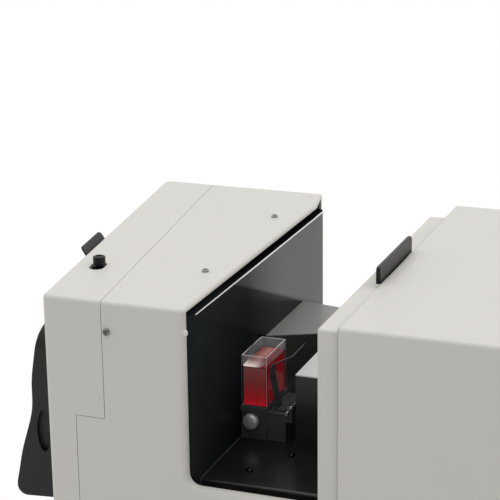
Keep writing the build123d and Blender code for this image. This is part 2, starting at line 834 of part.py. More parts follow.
def cell_clamp():
    """Bent spring leaf with an eye round the pin and a finger wire on its top."""
    y0 = inset(clamp_leaf_inset)
    y1 = y0 + clamp_leaf_width
    hub_y = y1 - clamp_hub_length
    top = drop(clamp_top_drop)
    neck = top - clamp_head
    heel_x = leaf_x + clamp_lean
    heel_z = clamp_z - clamp_hub_diameter / 2
    # side view: an upright head, a leaning leaf and a flat tongue under the pin
    outline = [(leaf_x, top), (leaf_x + clamp_leaf, top), (leaf_x + clamp_leaf, neck),
               (heel_x + clamp_leaf, heel_z + clamp_leaf), (clamp_x, heel_z + clamp_leaf),
               (clamp_x, heel_z), (heel_x, heel_z), (leaf_x, neck)]
    side = Plane(origin=(0, y0, 0), x_dir=(1, 0, 0), z_dir=(0, -1, 0))
    lever = extrude(side * Polygon(*outline, align=None), amount=clamp_leaf_width,
                    dir=(0, 1, 0))
    lever -= block((clamp_x - clamp_hub_diameter, clamp_x + 1), (y0 - 1, hub_y),
                   (heel_z - 1, clamp_z))
    lever += bar((clamp_x, hub_y, clamp_z), (0, 1, 0), clamp_hub_diameter, clamp_hub_length)
    lever -= bar((clamp_x, y0 - 1, clamp_z), (0, 1, 0), clamp_pin_diameter + 2 * running_gap,
                 clamp_leaf_width + 2)
    wire_z = top - finger_wire / 2
    root = Vector(leaf_x + clamp_leaf / 2, y1 - finger_wire, wire_z)
    bend = Vector(station(finger_station), inset(finger_bend_inset), wire_z)
    tip = Vector(station(finger_station), inset(finger_end_inset), wire_z)
    for a, b in ((root, bend), (bend, tip)):
        lever += bar(a, b - a, finger_wire, (b - a).length)
    return lever + Pos(bend) * Sphere(finger_wire / 2)


def clamp_pin():
    """Pin through the holder's ears and the lever's hub."""
    return bar((clamp_x, cell_y0 - clamp_pin_reach, clamp_z), (0, 1, 0), clamp_pin_diameter,
               cell_width + clamp_pin_reach + fit_gap)


def coil_points(turns, radius, pitch, steps):
    """Points of a helix along +Z, for measuring its least gap."""
    points = []
    for index in range(int(turns * steps) + 1):
        angle = 2 * math.pi * index / steps
        points.append((radius * math.cos(angle), radius * math.sin(angle),
                       pitch * index / steps))
    return points


def least_gap(points, wire, skip):
    """Least gap of a tube to itself, past its own neighbourhood."""
    gap = 1e9
    for i, a in enumerate(points):
        for b in points[i + skip:]:
            gap = min(gap, math.dist(a, b) - wire)
    return gap


def torsion_spring(name, origin, wire, bore, pitch, turns, leg_a, leg_b):
    """Coil of quarter-turn arcs round +Z of a plane, with a straight leg at each end."""
    radius = (bore + wire) / 2
    points = coil_points(turns, radius, pitch, 8)
    print(f"{name}: least gap to itself {least_gap(points, wire, 5):.2f} mm")
    path = []
    for index in range(0, len(points) - 2, 2):
        path.append(ThreePointArc(points[index], points[index + 1], points[index + 2]))
    last = Vector(*points[-1])
    path = [Line((radius, -leg_a, 0), (radius, 0, 0))] + path
    path.append(Line(last, last + Vector(0, leg_b, 0)))
    wire_path = Wire([edge for piece in path for edge in piece.edges()])
    start = Plane(origin=(radius, -leg_a, 0), z_dir=(0, 1, 0))
    tube = sweep(start * Circle(wire / 2), path=wire_path)
    return origin.location * tube


def cell_spring():
    """Wire spring round the clamp's pin, between the near ear and the lever's eye."""
    y = cell_y0 + holder_ear + cell_spring_wire
    plane = Plane(origin=(clamp_x, y, clamp_z), x_dir=(-1, 0, 0), z_dir=(0, 1, 0))
    return torsion_spring("cell spring", plane, cell_spring_wire, cell_spring_bore,
                          cell_spring_pitch, cell_spring_turns, cell_spring_short_leg,
                          cell_spring_long_leg)


# ---------------------------------------------------------------- sphere and lamp
def sphere_half(side):
    """Half of the hollow sphere with its flange; side is -1 in front, 1 behind."""
    root = math.sqrt(sphere_outer ** 2 - sphere_flange ** 2)
    rim = sphere_outer + sphere_flange_reach
    bend = math.sqrt(0.5)
    profile = ThreePointArc((side * sphere_radius, 0),
                            (side * bend * sphere_radius, bend * sphere_radius),
                            (0, sphere_radius))
    profile += Polyline((0, sphere_radius), (0, rim), (side * sphere_flange, rim),
                        (side * sphere_flange, root))
    profile += ThreePointArc((side * sphere_flange, root),
                             (side * bend * sphere_outer, bend * sphere_outer),
                             (side * sphere_outer, 0))
    profile += Line((side * sphere_outer, 0), (side * sphere_radius, 0))
    half = Pos(sphere_x, sphere_y, beam_z) * revolve(make_face(profile), axis=Axis.X)
    half -= bar((port_x, beam_y, beam_z), (port_cos, port_sin, 0), port_opening,
                sphere_radius)
    half -= port_face.location * Cylinder(port_opening, 2 * sphere_setback)
    half -= bar((sphere_x, beam_y, beam_z), (1, 0, 0), window_diameter, 2 * sphere_radius)
    half -= bar((sphere_x, sphere_y, beam_z), (0, 1, 0), lamp_port, 2 * sphere_radius)
    radius = sphere_outer + sphere_flange_reach / 2
    for y, z in bolt_places(radius):
        half -= bar((sphere_x - 10, y, z), (1, 0, 0), bolt_diameter + screw_clearance, 20)
    return half


def bolt_places(radius):
    """Places round the sphere's flange."""
    return [(sphere_y + radius * math.cos(math.radians(angle)),
             beam_z + radius * math.sin(math.radians(angle)))
            for angle in (30, 150, 210, 330)]


def sphere_bolts():
    """Bolts and nuts in one piece each, through the flange."""
    bolts = []
    reach = sphere_flange + 2.4
    for y, z in bolt_places(sphere_outer + sphere_flange_reach / 2):
        bolt = bar((sphere_x - reach, y, z), (1, 0, 0), bolt_diameter, 2 * reach)
        for x in (sphere_x - reach, sphere_x + sphere_flange):
            plane = Plane(origin=(x, y, z), z_dir=(1, 0, 0))
            bolt += extrude(plane * RegularPolygon(bolt_head / 2, 6), amount=2.4)
        bolts.append(bolt)
    return Compound(children=bolts)


def sphere_cradle():
    """Saddle on the deck that carries the sphere by its flange."""
    half = 44
    depth = 14
    body = block((sphere_x - depth, sphere_x + depth), (sphere_y - half, sphere_y + half),
                 (deck_z, beam_z - 0.62 * sphere_outer))
    body -= Pos(sphere_x, sphere_y, beam_z) * Sphere(sphere_outer)
    body -= Pos(sphere_x, sphere_y, beam_z) * Rot(0, 90, 0) * Cylinder(
        sphere_outer + sphere_flange_reach, 2 * sphere_flange)
    return body


def beam_tube():
    """Tube from the sphere's exit to the compartment's wall, with a flange there."""
    reach = math.sqrt(sphere_outer ** 2 - (window_diameter / 2) ** 2
                      - (sphere_y - beam_y) ** 2)
    x0 = sphere_x + reach - sphere_wall / 2
    x1 = station(liner_station) - window_thickness
    outer = window_diameter - 2 * fit_gap
    tube = bar((x0, beam_y, beam_z), (1, 0, 0), outer, x1 - x0)
    flange_back = x1 - 3
    tube += bar((flange_back, beam_y, beam_z), (1, 0, 0), window_diameter + 12,
                station(liner_station) - liner_sheet - flange_back)
    tube -= bar((x1, beam_y, beam_z), (1, 0, 0), window_diameter + fit_gap, 5)
    tube -= bar((x0 - 1, beam_y, beam_z), (1, 0, 0), outer - 5, x1 - x0 + 2)
    return tube


def lamp_face():
    """Y of the lamp housing's face, just clear of the sphere's flange."""
    return sphere_y + sphere_outer + sphere_flange_reach + lamp_gap


def lamp_housing():
    """Finned housing of the flash lamp, open toward the sphere."""
    y0 = lamp_face()
    x = (station(lamp_station), station(lamp_station) + lamp_length)
    box = block(x, (y0, y0 + lamp_width), (deck_z, drop(lamp_top_drop)))
    pitch = lamp_width / lamp_fin_count
    for index in range(1, lamp_fin_count):
        y = y0 + index * pitch
        box -= block((x[0] - 1, x[1] + 1), (y - lamp_fin_gap / 2, y + lamp_fin_gap / 2),
                     (drop(lamp_top_drop) - lamp_fin_depth, drop(lamp_top_drop) + 1))
    nose = y0 - sphere_y - math.sqrt(sphere_outer ** 2 - (lamp_port / 2) ** 2)
    nose += sphere_wall / 2
    box += bar((sphere_x, y0, beam_z), (0, -1, 0), lamp_port - 2 * fit_gap, nose)
    box -= bar((sphere_x, y0 - nose - 1, beam_z), (0, 1, 0), lamp_bore,
               nose + 1 + lamp_bore_depth)
    return box


def flash_lamp():
    """Glass lamp on its base at the bottom of the housing's bore."""
    y1 = lamp_face() + lamp_bore_depth
    base = bar((sphere_x, y1, beam_z), (0, -1, 0), lamp_bore - 2 * fit_gap, lamp_base)
    tube = bar((sphere_x, y1 - lamp_base, beam_z), (0, -1, 0), lamp_tube_diameter,
               lamp_tube_length)
    end = [edge for edge in tube.edges() if edge.center().Y < y1 - lamp_base - 1]
    return base + fillet(end, 0.4 * lamp_tube_diameter)


# ---------------------------------------------------------------- front cowl
def port_local(shape):
    """Place a shape drawn in the port face's own axes."""
    return port_face.location * shape


def cowl_side():
    """Side view of the cheeks: x runs outward, y runs up from the beam."""
    nose = -cowl_fall + shelf_nose
    outline = Polyline((0, cowl_rise), (0, -cowl_fall), (shelf_reach - shelf_nose, -cowl_fall))
    front = ThreePointArc((shelf_reach - shelf_nose, -cowl_fall),
                          (shelf_reach - 0.3 * shelf_nose, -cowl_fall + 0.3 * shelf_nose),
                          (shelf_reach, nose))
    rise = Spline((shelf_reach, nose), (shelf_reach - 1.5, nose + 10),
                  (shelf_reach - 6, nose + 32), (cowl_waist + 1, -28), (cowl_waist, -8),
                  tangents=((0, 1), (0, 1)))
    upper = Spline((cowl_waist, -8), (cowl_waist - 3.5, 22),
                   (cowl_shoulder, cowl_rise - 4), tangents=((0, 1), (-0.6, 1)))
    crown = ThreePointArc((cowl_shoulder, cowl_rise - 4), (cowl_shoulder - 8, cowl_rise - 0.6),
                          (cowl_shoulder - 16, cowl_rise))
    top = Line((cowl_shoulder - 16, cowl_rise), (0, cowl_rise))
    return make_face(outline + front + rise + upper + crown + top)


def cowl():
    """Moulded cowl round the sample port: cheeks, hood, back plate and sample shelf."""
    side = Plane(origin=(-cowl_width / 2, 0, 0), x_dir=(0, 0, 1), z_dir=(-1, 0, 0))
    body = extrude(side * cowl_side(), amount=cowl_width, dir=(1, 0, 0))
    height = cowl_rise + cowl_fall
    front = Pos(0, (cowl_rise - cowl_fall) / 2, 0) * Rectangle(cowl_width, height)
    plate = extrude(front, amount=shelf_reach + 1)
    top_corners = [edge for edge in plate.edges().filter_by(Axis.Z)
                   if edge.center().Y > cowl_rise - 1]
    body = body & fillet(top_corners, cowl_corner)
    hollow = Pos(0, (cowl_rise - cowl_hood - cowl_fall + shelf_thickness) / 2, 0) * Rectangle(
        cowl_width - 2 * cowl_cheek, height - cowl_hood - shelf_thickness)
    cavity = Pos(0, 0, cowl_base) * extrude(hollow, amount=shelf_reach)
    upper = [edge for edge in cavity.edges().filter_by(Axis.Z) if edge.center().Y > 0]
    cavity = fillet(upper, cowl_corner - cowl_cheek)
    body -= cavity
    # hollows in the outside of the cheeks
    lobe = Pos(hollow_reach, -hollow_fall, 0) * Ellipse(hollow_width / 2, hollow_height / 2)
    lobes = extrude(side * lobe, amount=cowl_width, dir=(1, 0, 0))
    half = cowl_width / 2 - hollow_depth
    lobes -= block((-half, half), (-cowl_fall, cowl_rise), (0, shelf_reach))
    body -= lobes
    body -= Cylinder(port_opening / 2, 4 * cowl_base)
    # groove for the shutter behind the back plate
    groove_bottom = -port_opening / 2 - shutter_overlap - 1
    body -= block((-shutter_width / 2 - fit_gap, shutter_width / 2 + fit_gap),
                  (groove_bottom, cowl_rise + 1), (-1, 2 * shutter_gap + shutter_thickness))
    ears_x = arm_width / 2 + fit_gap
    z = arm_pivot_reach
    y = -cowl_fall + shelf_thickness + arm_pivot_rise
    for sign in (-1, 1):
        x = sorted((sign * ears_x, sign * (ears_x + 5)))
        ear = block(x, (-cowl_fall + shelf_thickness - 1, y), (z - 6, z + 6))
        ear += bar((x[0], y, z), (1, 0, 0), 12, 5)
        body += ear
    body -= bar((-cowl_width / 2 - 1 + cowl_cheek, y, z), (1, 0, 0), arm_pin_diameter,
                cowl_width - 2 * cowl_cheek + 2)
    return port_local(body)


def port_plate():
    """Exchangeable ring with the measuring aperture."""
    ring = Pos(0, 0, cowl_base + port_ring_thickness / 2) * Cylinder(port_ring_diameter / 2,
                                                                     port_ring_thickness)
    nose = Pos(0, 0, cowl_base - 1.2) * Cylinder(port_opening / 2 - fit_gap, 2.4)
    ring += nose
    ring -= Pos(0, 0, cowl_base) * Cylinder(port_bore / 2, 20)
    return port_local(ring)


def port_shutter():
    """Thin slide behind the cowl's back plate, with a flared thumb tab on top."""
    bottom = -port_opening / 2 - shutter_overlap
    tip = beam_drop + shutter_tab_rise
    lean = math.radians(shutter_tab_lean)
    bend_y = tip - shutter_tab_length * math.cos(lean)
    inner = shutter_gap
    outer = shutter_gap + shutter_thickness
    reach = shutter_tab_length * math.sin(lean)
    points = [(inner, bottom), (outer, bottom), (outer, bend_y),
              (outer + reach, tip), (inner + reach, tip), (inner, bend_y)]
    start = -shutter_tab_width
    side = Plane(origin=(start, 0, 0), x_dir=(0, 0, 1), z_dir=(-1, 0, 0))
    slide = extrude(side * Polygon(*points, align=None), amount=2 * shutter_tab_width,
                    dir=(1, 0, 0))
    tab = Pos(-shutter_tab_shift, (bend_y + tip) / 2, -5) * Rectangle(shutter_tab_width,
                                                                      tip - bend_y)
    tab = extrude(tab, amount=40)
    corners = [edge for edge in tab.edges().filter_by(Axis.Z) if edge.center().Y > bend_y + 1]
    front = Pos(0, (bottom + bend_y) / 2, -5) * Rectangle(shutter_width, bend_y - bottom)
    outline = extrude(front, amount=40) + fillet(corners, shutter_corner)
    return port_local(slide & outline)


def arm_pivot():
    """Height and reach of the sample clamp's pivot in the port face's axes."""
    return -cowl_fall + shelf_thickness + arm_pivot_rise, arm_pivot_reach


def sample_clamp():
    """Arm that swings down from the port; its upper end carries the pad."""
    y, z = arm_pivot()
    back = cowl_base + port_ring_thickness + pad_gap + pad_thickness
    points = [(z - 4, y), (z + 3, y + 4), (back + arm_thickness + 4, -14),
              (back + arm_thickness, -8), (back + arm_thickness, 14), (back, 14), (back, -10),
              (z - 5, y + 3)]
    side = Plane(origin=(-arm_width / 2, 0, 0), x_dir=(0, 0, 1), z_dir=(-1, 0, 0))
    arm = extrude(side * Polygon(*points, align=None), amount=arm_width, dir=(1, 0, 0))
    arm += bar((-arm_width / 2, y, z), (1, 0, 0), arm_hub_diameter, arm_width)
    slot = arm_spring_turns * arm_spring_pitch + 3
    arm -= block((-slot / 2, slot / 2), (y - arm_hub_diameter, y + 0.8 * arm_hub_diameter),
                 (z - arm_hub_diameter, z + arm_hub_diameter))
    arm -= bar((-arm_width / 2 - 1, y, z), (1, 0, 0), arm_pin_diameter + 2 * running_gap,
               arm_width + 2)
    return port_local(arm)


def clamp_pad():
    """Soft pad that presses the sample against the port."""
    back = cowl_base + port_ring_thickness + pad_gap + pad_thickness
    pad = Pos(0, 0, back - pad_thickness / 2) * Cylinder(pad_diameter / 2, pad_thickness)
    rim = [edge for edge in pad.edges() if edge.center().Z < back - pad_thickness + 0.1]
    return port_local(chamfer(rim, 1.0))


def sample_clamp_pin():
    """Pin of the sample clamp, between its two ears."""
    y, z = arm_pivot()
    length = arm_width + 2 * fit_gap + 14
    return port_local(bar((-length / 2, y, z), (1, 0, 0), arm_pin_diameter, length))


def sample_clamp_spring():
    """Torsion spring on the pin, in the middle of the arm's hub."""
    y, z = arm_pivot()
    length = arm_spring_turns * arm_spring_pitch
    plane = Plane(origin=(-length / 2, y, z), x_dir=(0, 0, -1), z_dir=(1, 0, 0))
    spring = torsion_spring("sample clamp spring", plane, arm_spring_wire, arm_spring_bore,
                            arm_spring_pitch, arm_spring_turns, 9, 9)
    return port_local(spring)


# ---------------------------------------------------------------- top lever
def lever_point(z):
    """The lever's axis at a height."""
    return Vector(station(knob_station), inset(knob_inset), z)


def lever_knob():
    """Round knob with a slightly hollow top."""
    z = top_z + knob_gap
    knob = bar(lever_point(z), (0, 0, 1), knob_diameter, knob_height)
    rims = [edge for edge in knob.edges() if edge.center().Z > z + knob_height - 0.1]
    knob = fillet(rims, 1.0)
    knob -= bar(lever_point(z + knob_height - 0.5), (0, 0, 1), 0.6 * knob_diameter, 1)
    knob -= bar(lever_point(z - 1), (0, 0, 1), rod_diameter, 0.6 * knob_height + 1)
    return knob


def lever_rod():
    """Rod under the knob, with a shield under the slot and a flag at its foot."""
    z1 = top_z + knob_gap + 0.6 * knob_height
    rod = bar(lever_point(z1), (0, 0, -1), rod_diameter, rod_length)
    shield = SlotCenterToCenter(2 * lever_travel + 2, slot_width + 4)
    plane = Plane(origin=lever_point(top_z - wall - fit_gap), x_dir=lever_axis(),
                  z_dir=(0, 0, -1))
    rod += extrude(plane * shield, amount=shield_thickness)
    foot = Plane(origin=lever_point(z1 - rod_length), x_dir=lever_axis(), z_dir=(0, 0, 1))
    flag = foot.location * Box(flag_length, flag_thickness, flag_height)
    return rod + flag


def lever_guide():
    """Bracket under the top that guides the rod along its slot."""
    middle = lever_point(drop(guide_drop)) + lever_axis() * (lever_travel / 2)
    plane = Plane(origin=middle, x_dir=lever_axis(), z_dir=(0, 0, 1))
    leg_place = 1.5 * lever_travel + slot_width
    plate = Box(2 * leg_place + guide_thickness, guide_width, guide_thickness)
    leg_height = guide_drop - wall
    for sign in (-1, 1):
        plate += Pos(sign * leg_place, 0, leg_height / 2) * Box(guide_thickness, guide_width,
                                                                leg_height)
    slot = extrude(SlotCenterToCenter(lever_travel, rod_diameter + 2 * fit_gap), amount=4,
                   both=True)
    plate -= slot
    return plane.location * plate


# ---------------------------------------------------------------- rear half
rear_wall_x = station(compartment_end_station)
case_x0 = rear_wall_x + barrel_length
case_x1 = case_x0 + case_length
case_y1 = far_y - case_far_inset
case_y0 = case_y1 - case_width
case_top = drop(case_top_drop)


def relay_barrel():
    """Lens barrel from the compartment to the spectrometer case."""
    tube = bar((rear_wall_x, beam_y, beam_z), (1, 0, 0), barrel_diameter, barrel_length)
    tube -= bar((rear_wall_x - 1, beam_y, beam_z), (1, 0, 0),
                barrel_diameter - 2 * barrel_wall, barrel_length + 2)
    return tube


def relay_lens():
    """Lens of the barrel, thicker in the middle."""
    radius = barrel_diameter / 2 - barrel_wall - fit_gap / 2
    edge = lens_edge / 2
    middle = lens_thickness / 2
    sag = middle - edge
    curve = (radius ** 2 + sag ** 2) / (2 * sag)
    half_way = middle - curve + math.sqrt(curve ** 2 - radius ** 2 / 4)
    profile = Line((0, -middle), (0, middle))
    profile += ThreePointArc((0, middle), (radius / 2, half_way), (radius, edge))
    profile += Line((radius, edge), (radius, -edge))
    profile += ThreePointArc((radius, -edge), (radius / 2, -half_way), (0, -middle))
    body = revolve(make_face(profile), axis=Axis.Y)
    return Pos(rear_wall_x + barrel_length / 2, beam_y, beam_z) * Rot(0, 0, 90) * body


def spectrometer_case():
    """Cast case of the spectrometer, open on top under its lid."""
    case = block((case_x0, case_x1), (case_y0, case_y1), (deck_z, case_top))
    corners = case.edges().filter_by(Axis.Z)
    case = fillet(corners, 8)
    core = block((case_x0 + case_wall, case_x1 - case_wall),
                 (case_y0 + case_wall, case_y1 - case_wall), (deck_z + case_wall, case_top + 1))
    case -= fillet(core.edges().filter_by(Axis.Z), 8 - case_wall)
    case -= bar((case_x0 - 1, beam_y, beam_z), (1, 0, 0),
                barrel_diameter - 2 * barrel_wall, case_wall + 2)
    return case


def spectrometer_lid():
    """Lid of the spectrometer case."""
    lid = block((case_x0, case_x1), (case_y0, case_y1), (case_top, case_top + case_lid))
    return fillet(lid.edges().filter_by(Axis.Z), 8)


def collimating_mirror():
    """Round mirror on its stand, turned toward the grating."""
    x = case_x1 - case_wall - 24
    stand = block((x - 7, x + 7), (beam_y - 20, beam_y + 20), (deck_z + case_wall, beam_z - 26))
    disc = Pos(x, beam_y, beam_z) * Rot(0, 0, -12) * Rot(0, 90, 0) * Cylinder(
        mirror_diameter / 2, mirror_thickness)
    return stand + disc


def grating():
    """Diffraction grating on its post."""
    x = case_x0 + case_wall + 34
    y = case_y1 - case_wall - 50
    post = Pos(x, y, (deck_z + case_wall + beam_z) / 2) * Cylinder(
        9, beam_z - deck_z - case_wall)
    plate = Pos(x, y, beam_z) * Rot(0, 0, 20) * Box(grating_thickness, grating_size, grating_size)
    return post + plate


def detector_board():
    """Sensor board on the inside of the case's rear wall."""
    x1 = case_x1 - case_wall
    y = case_y1 - case_wall - 60
    board = block((x1 - board_thickness, x1), (y - sensor_width / 2, y + sensor_width / 2),
                  (beam_z - sensor_height / 2, beam_z + sensor_height / 2))
    chip = block((x1 - board_thickness - 4, x1 - board_thickness),
                 (y - sensor_width / 3, y + sensor_width / 3), (beam_z - 6, beam_z + 6))
    return board + chip


def main_board():
    """Main board under the deck, with its larger components and its standoffs."""
    x = station(board_station)
    y = inset(board_inset)
    pan_z = base_z + pan_sheet
    z = pan_z + board_gap
    board = block((x, x + board_length), (y, y + board_width), (z, z + board_thickness))
    top = z + board_thickness
    for px, py, length, width, height in board_parts:
        board += block((x + px, x + px + length), (y + py, y + py + width),
                       (top, top + height))
    for px in (standoff_diameter, board_length - standoff_diameter):
        for py in (standoff_diameter, board_width - standoff_diameter):
            board += bar((x + px, y + py, pan_z), (0, 0, 1), standoff_diameter, board_gap)
    return board


def power_supply():
    """Enclosed supply on the base pan, under the deck."""
    x1 = station(body_length - panel_setback) - panel_thickness - 25
    z0 = base_z + pan_sheet
    z1 = z0 + supply_height
    box = block((x1 - supply_length, x1),
                (inset(supply_inset), inset(supply_inset + supply_width)), (z0, z1))
    for index in range(supply_slots):
        y = inset(supply_inset + supply_width * (index + 1) / (supply_slots + 1))
        box -= block((x1 - supply_length + 12, x1 - 12), (y - 2.5, y + 2.5), (z1 - 2, z1 + 1))
    return box


def base_pan():
    """Sheet pan with an upturned rim and the pillars that carry the deck."""
    gap = wall + fit_gap
    rear = body_length - panel_setback - panel_thickness - fit_gap
    z = (base_z, base_z + pan_lip)
    pan = slanted(gap, rear + seam_shift, gap, z)
    limit = block((station(-2 * seam_shift), station(rear)), (near_y, far_y),
                  (z[0] - 1, z[1] + 1))
    pan &= limit
    inner = slanted(gap + pan_sheet, rear + seam_shift, gap + pan_sheet,
                    (base_z + pan_sheet, z[1] + 1))
    inner &= block((station(-2 * seam_shift), station(rear - pan_sheet)), (near_y, far_y),
                   (z[0] - 1, z[1] + 2))
    pan -= inner
    for (x, y, z_screw), outward in low_screw_places:
        pan -= screw_hole((x, y, z_screw), outward, gap + 2 * pan_sheet)
    for x in (pillar_inset, body_length / 2, body_length - pillar_inset):
        for y in (near_y + pillar_inset, far_y - pillar_inset):
            pan += bar((station(x), y, base_z + pan_sheet / 2), (0, 0, 1), pillar_diameter,
                       deck_z - deck_thickness - base_z - pan_sheet / 2)
    return pan


def foot_places():
    """Plan places of the feet."""
    front = station(foot_inset_x)
    rear = station(body_length - foot_inset_x)
    return [(x, y) for x in (front, rear)
            for y in (near_y + foot_inset_y, far_y - foot_inset_y)]


def rubber_feet():
    """Four tapered rubber feet."""
    feet = []
    for x, y in foot_places():
        foot = Pos(x, y, foot_height / 2) * Rot(180, 0, 0) * Cone(
            foot_diameter / 2, foot_diameter / 2 - foot_taper, foot_height)
        feet.append(foot)
    return Compound(children=feet)


def rail_sides():
    """Y range of each rail, and the direction from the cover's wall toward it."""
    gap = cover_wall + runner_wall + rail_clearance
    near = near_y + cover_inset + gap
    far = far_y - cover_far_inset - gap
    return ((near, near + rail_thickness, 1), (far - rail_thickness, far, -1))


def cover_rails():
    """Rails on the deck, beside the spectrometer case."""
    x = (station(housing_station + rail_end_gap),
         station(cover_station + cover_length + rail_end_gap))
    rails = [block(x, (y0, y1), (deck_z, deck_z + rail_height)) for y0, y1, _ in rail_sides()]
    return Compound(children=rails)


def cover_runners():
    """Forked runners on the cover's walls that straddle the rails."""
    runners = []
    top = deck_z + rail_height + runner_height - runner_grip
    tail = station(cover_station + cover_length - runner_tail_gap)
    for y0, y1, side in rail_sides():
        cover_face = y0 - runner_wall - rail_clearance if side > 0 else (
            y1 + runner_wall + rail_clearance)
        reach = side * (2 * runner_wall + 2 * rail_clearance + rail_thickness)
        for shift in (0, runner_spacing):
            x = (tail - shift - runner_length, tail - shift)
            fork = block(x, sorted((cover_face, cover_face + reach)), (top - runner_height, top))
            fork -= block((x[0] - 1, x[1] + 1), (y0 - rail_clearance, y1 + rail_clearance),
                          (top - runner_height - 1, deck_z + rail_height + rail_clearance))
            runners.append(fork)
    return Compound(children=runners)


def panel_x():
    """Inner and outer face of the rear panel."""
    outer = station(body_length - panel_setback)
    return outer - panel_thickness, outer


def power_inlet():
    """Inlet with its socket, three flat prongs and a flange on the panel."""
    inner, outer = panel_x()
    y = inset(inlet_inset)
    z = base_z + inlet_rise
    body = block((outer + inlet_flange - inlet_depth, outer),
                 (y - inlet_width / 2, y + inlet_width / 2),
                 (z - inlet_height / 2, z + inlet_height / 2))
    body += block((outer, outer + inlet_flange),
                  (y - inlet_flange_width / 2, y + inlet_flange_width / 2),
                  (z - inlet_flange_height / 2, z + inlet_flange_height / 2))
    socket = block((outer + inlet_flange - socket_depth, outer + inlet_flange + 1),
                   (y - socket_width / 2, y + socket_width / 2),
                   (z - socket_height / 2, z + socket_height / 2))
    lower = [edge for edge in socket.edges().filter_by(Axis.X) if edge.center().Z < z]
    body -= chamfer(lower, 4.0)
    bottom = outer + inlet_flange - socket_depth
    for dy, dz in ((-prong_spacing, 2), (0, -2), (prong_spacing, 2)):
        body += block((bottom - 1, bottom + prong_length),
                      (y + dy - prong_width / 2, y + dy + prong_width / 2),
                      (z + dz - prong_height / 2, z + dz + prong_height / 2))
    return body


def switch_frame():
    """Frame of the power switch, with its pivot pin."""
    inner, outer = panel_x()
    y = inset(rocker_inset)
    z = base_z + inlet_rise
    t = rocker_frame_wall
    wide = rocker_width / 2
    high = rocker_height / 2
    frame = block((outer - rocker_depth, outer), (y - wide - t, y + wide + t),
                  (z - high - t, z + high + t))
    frame += block((outer, outer + 1.2), (y - wide - 2 * t, y + wide + 2 * t),
                   (z - high - 2 * t, z + high + 2 * t))
    frame -= block((outer - rocker_depth + t, outer + 3), (y - wide, y + wide),
                   (z - high, z + high))
    frame += bar((outer - rocker_pivot_depth, y - rocker_width / 2 - t, z), (0, 1, 0), rocker_pin,
                 rocker_width + 2 * t)
    return frame


def rocker():
    """Rocker of the power switch, pressed in at its lower end."""
    inner, outer = panel_x()
    y = inset(rocker_inset)
    z = base_z + inlet_rise
    pivot = outer - rocker_pivot_depth
    half = rocker_height / 2 - 0.8
    points = [(-4, -3), (5.5, -half), (6.2, 0), (5.5, half), (-4, 3)]
    side = Plane(origin=(0, 0, 0), x_dir=(1, 0, 0), z_dir=(0, -1, 0))
    body = extrude(side * Polygon(*points, align=None), amount=rocker_width - 2 * fit_gap,
                   dir=(0, 1, 0))
    body -= bar((0, -1, 0), (0, 1, 0), rocker_pin + 2 * running_gap, rocker_width + 2)
    body = Rot(0, rocker_throw / 2, 0) * body
    return Pos(pivot, y - rocker_width / 2 + fit_gap, z) * body


def data_port():
    """Shielded data connector in the panel."""
    inner, outer = panel_x()
    y = inset(data_inset)
    z = base_z + inlet_rise
    shell = block((outer - data_depth, outer), (y - data_width / 2, y + data_width / 2),
                  (z - data_height / 2, z + data_height / 2))
    shell -= block((outer - data_depth + 2, outer + 1),
                   (y - data_width / 2 + data_wall, y + data_width / 2 - data_wall),
                   (z - data_height / 2 + data_wall, z + data_height / 2 - data_wall))
    shell += block((outer - data_depth + 1, outer - 2), (y - 2.8, y + 2.8), (z - 1.6, z + 1.6))
    return shell


def fan_centre():
    """Middle of the fan, against the inside of the panel."""
    inner, outer = panel_x()
    return inner - fan_thickness / 2, inset(fan_inset), base_z + fan_rise


def fan_frame():
    """Square fan frame with its spider and motor mount."""
    x, y, z = fan_centre()
    frame = Pos(x, y, z) * Box(fan_thickness, fan_size, fan_size)
    frame = fillet(frame.edges().filter_by(Axis.X), 3)
    ring = bar((x - fan_thickness, y, z), (1, 0, 0), fan_bore, 2 * fan_thickness)
    frame -= ring
    spider = Box(2, fan_bore + 2, 3)
    back = x - fan_thickness / 2 + 1
    frame += Pos(back, y, z) * Rot(45, 0, 0) * spider
    frame += Pos(back, y, z) * Rot(-45, 0, 0) * spider
    frame += bar((back - 1, y, z), (1, 0, 0), fan_hub, 2)
    frame += bar((back, y, z), (1, 0, 0), fan_spindle, fan_thickness - 4)
    return frame


def fan_rotor():
    """Rotor with pitched blades."""
    x, y, z = fan_centre()
    depth = fan_thickness - 5
    start = x - fan_thickness / 2 + 2.5
    rotor = bar((start, y, z), (1, 0, 0), fan_hub, depth)
    tip = fan_bore / 2 - fan_tip_gap
    swept = bar((start, y, z), (1, 0, 0), 2 * tip, depth)
    span = tip - fan_hub / 2 + 4
    for index in range(fan_blades):
        blade = Rot(0, 0, 35) * Box(depth * 1.3, 1.4, span)
        blade = Pos(0, 0, fan_hub / 2 + span / 2 - 2) * blade
        blade = Rot(360 * index / fan_blades, 0, 0) * blade
        rotor += (Pos(start + depth / 2, y, z) * blade) & swept
    rotor -= bar((start - 1, y, z), (1, 0, 0), fan_spindle + 2 * running_gap, depth + 2)
    return rotor


# ---------------------------------------------------------------- the assembly
def grouped_screws(places, length=screw_length):
    """Identical screws as one group."""
    return Compound(children=[pan_screw(place, outward, length) for place, outward in places])


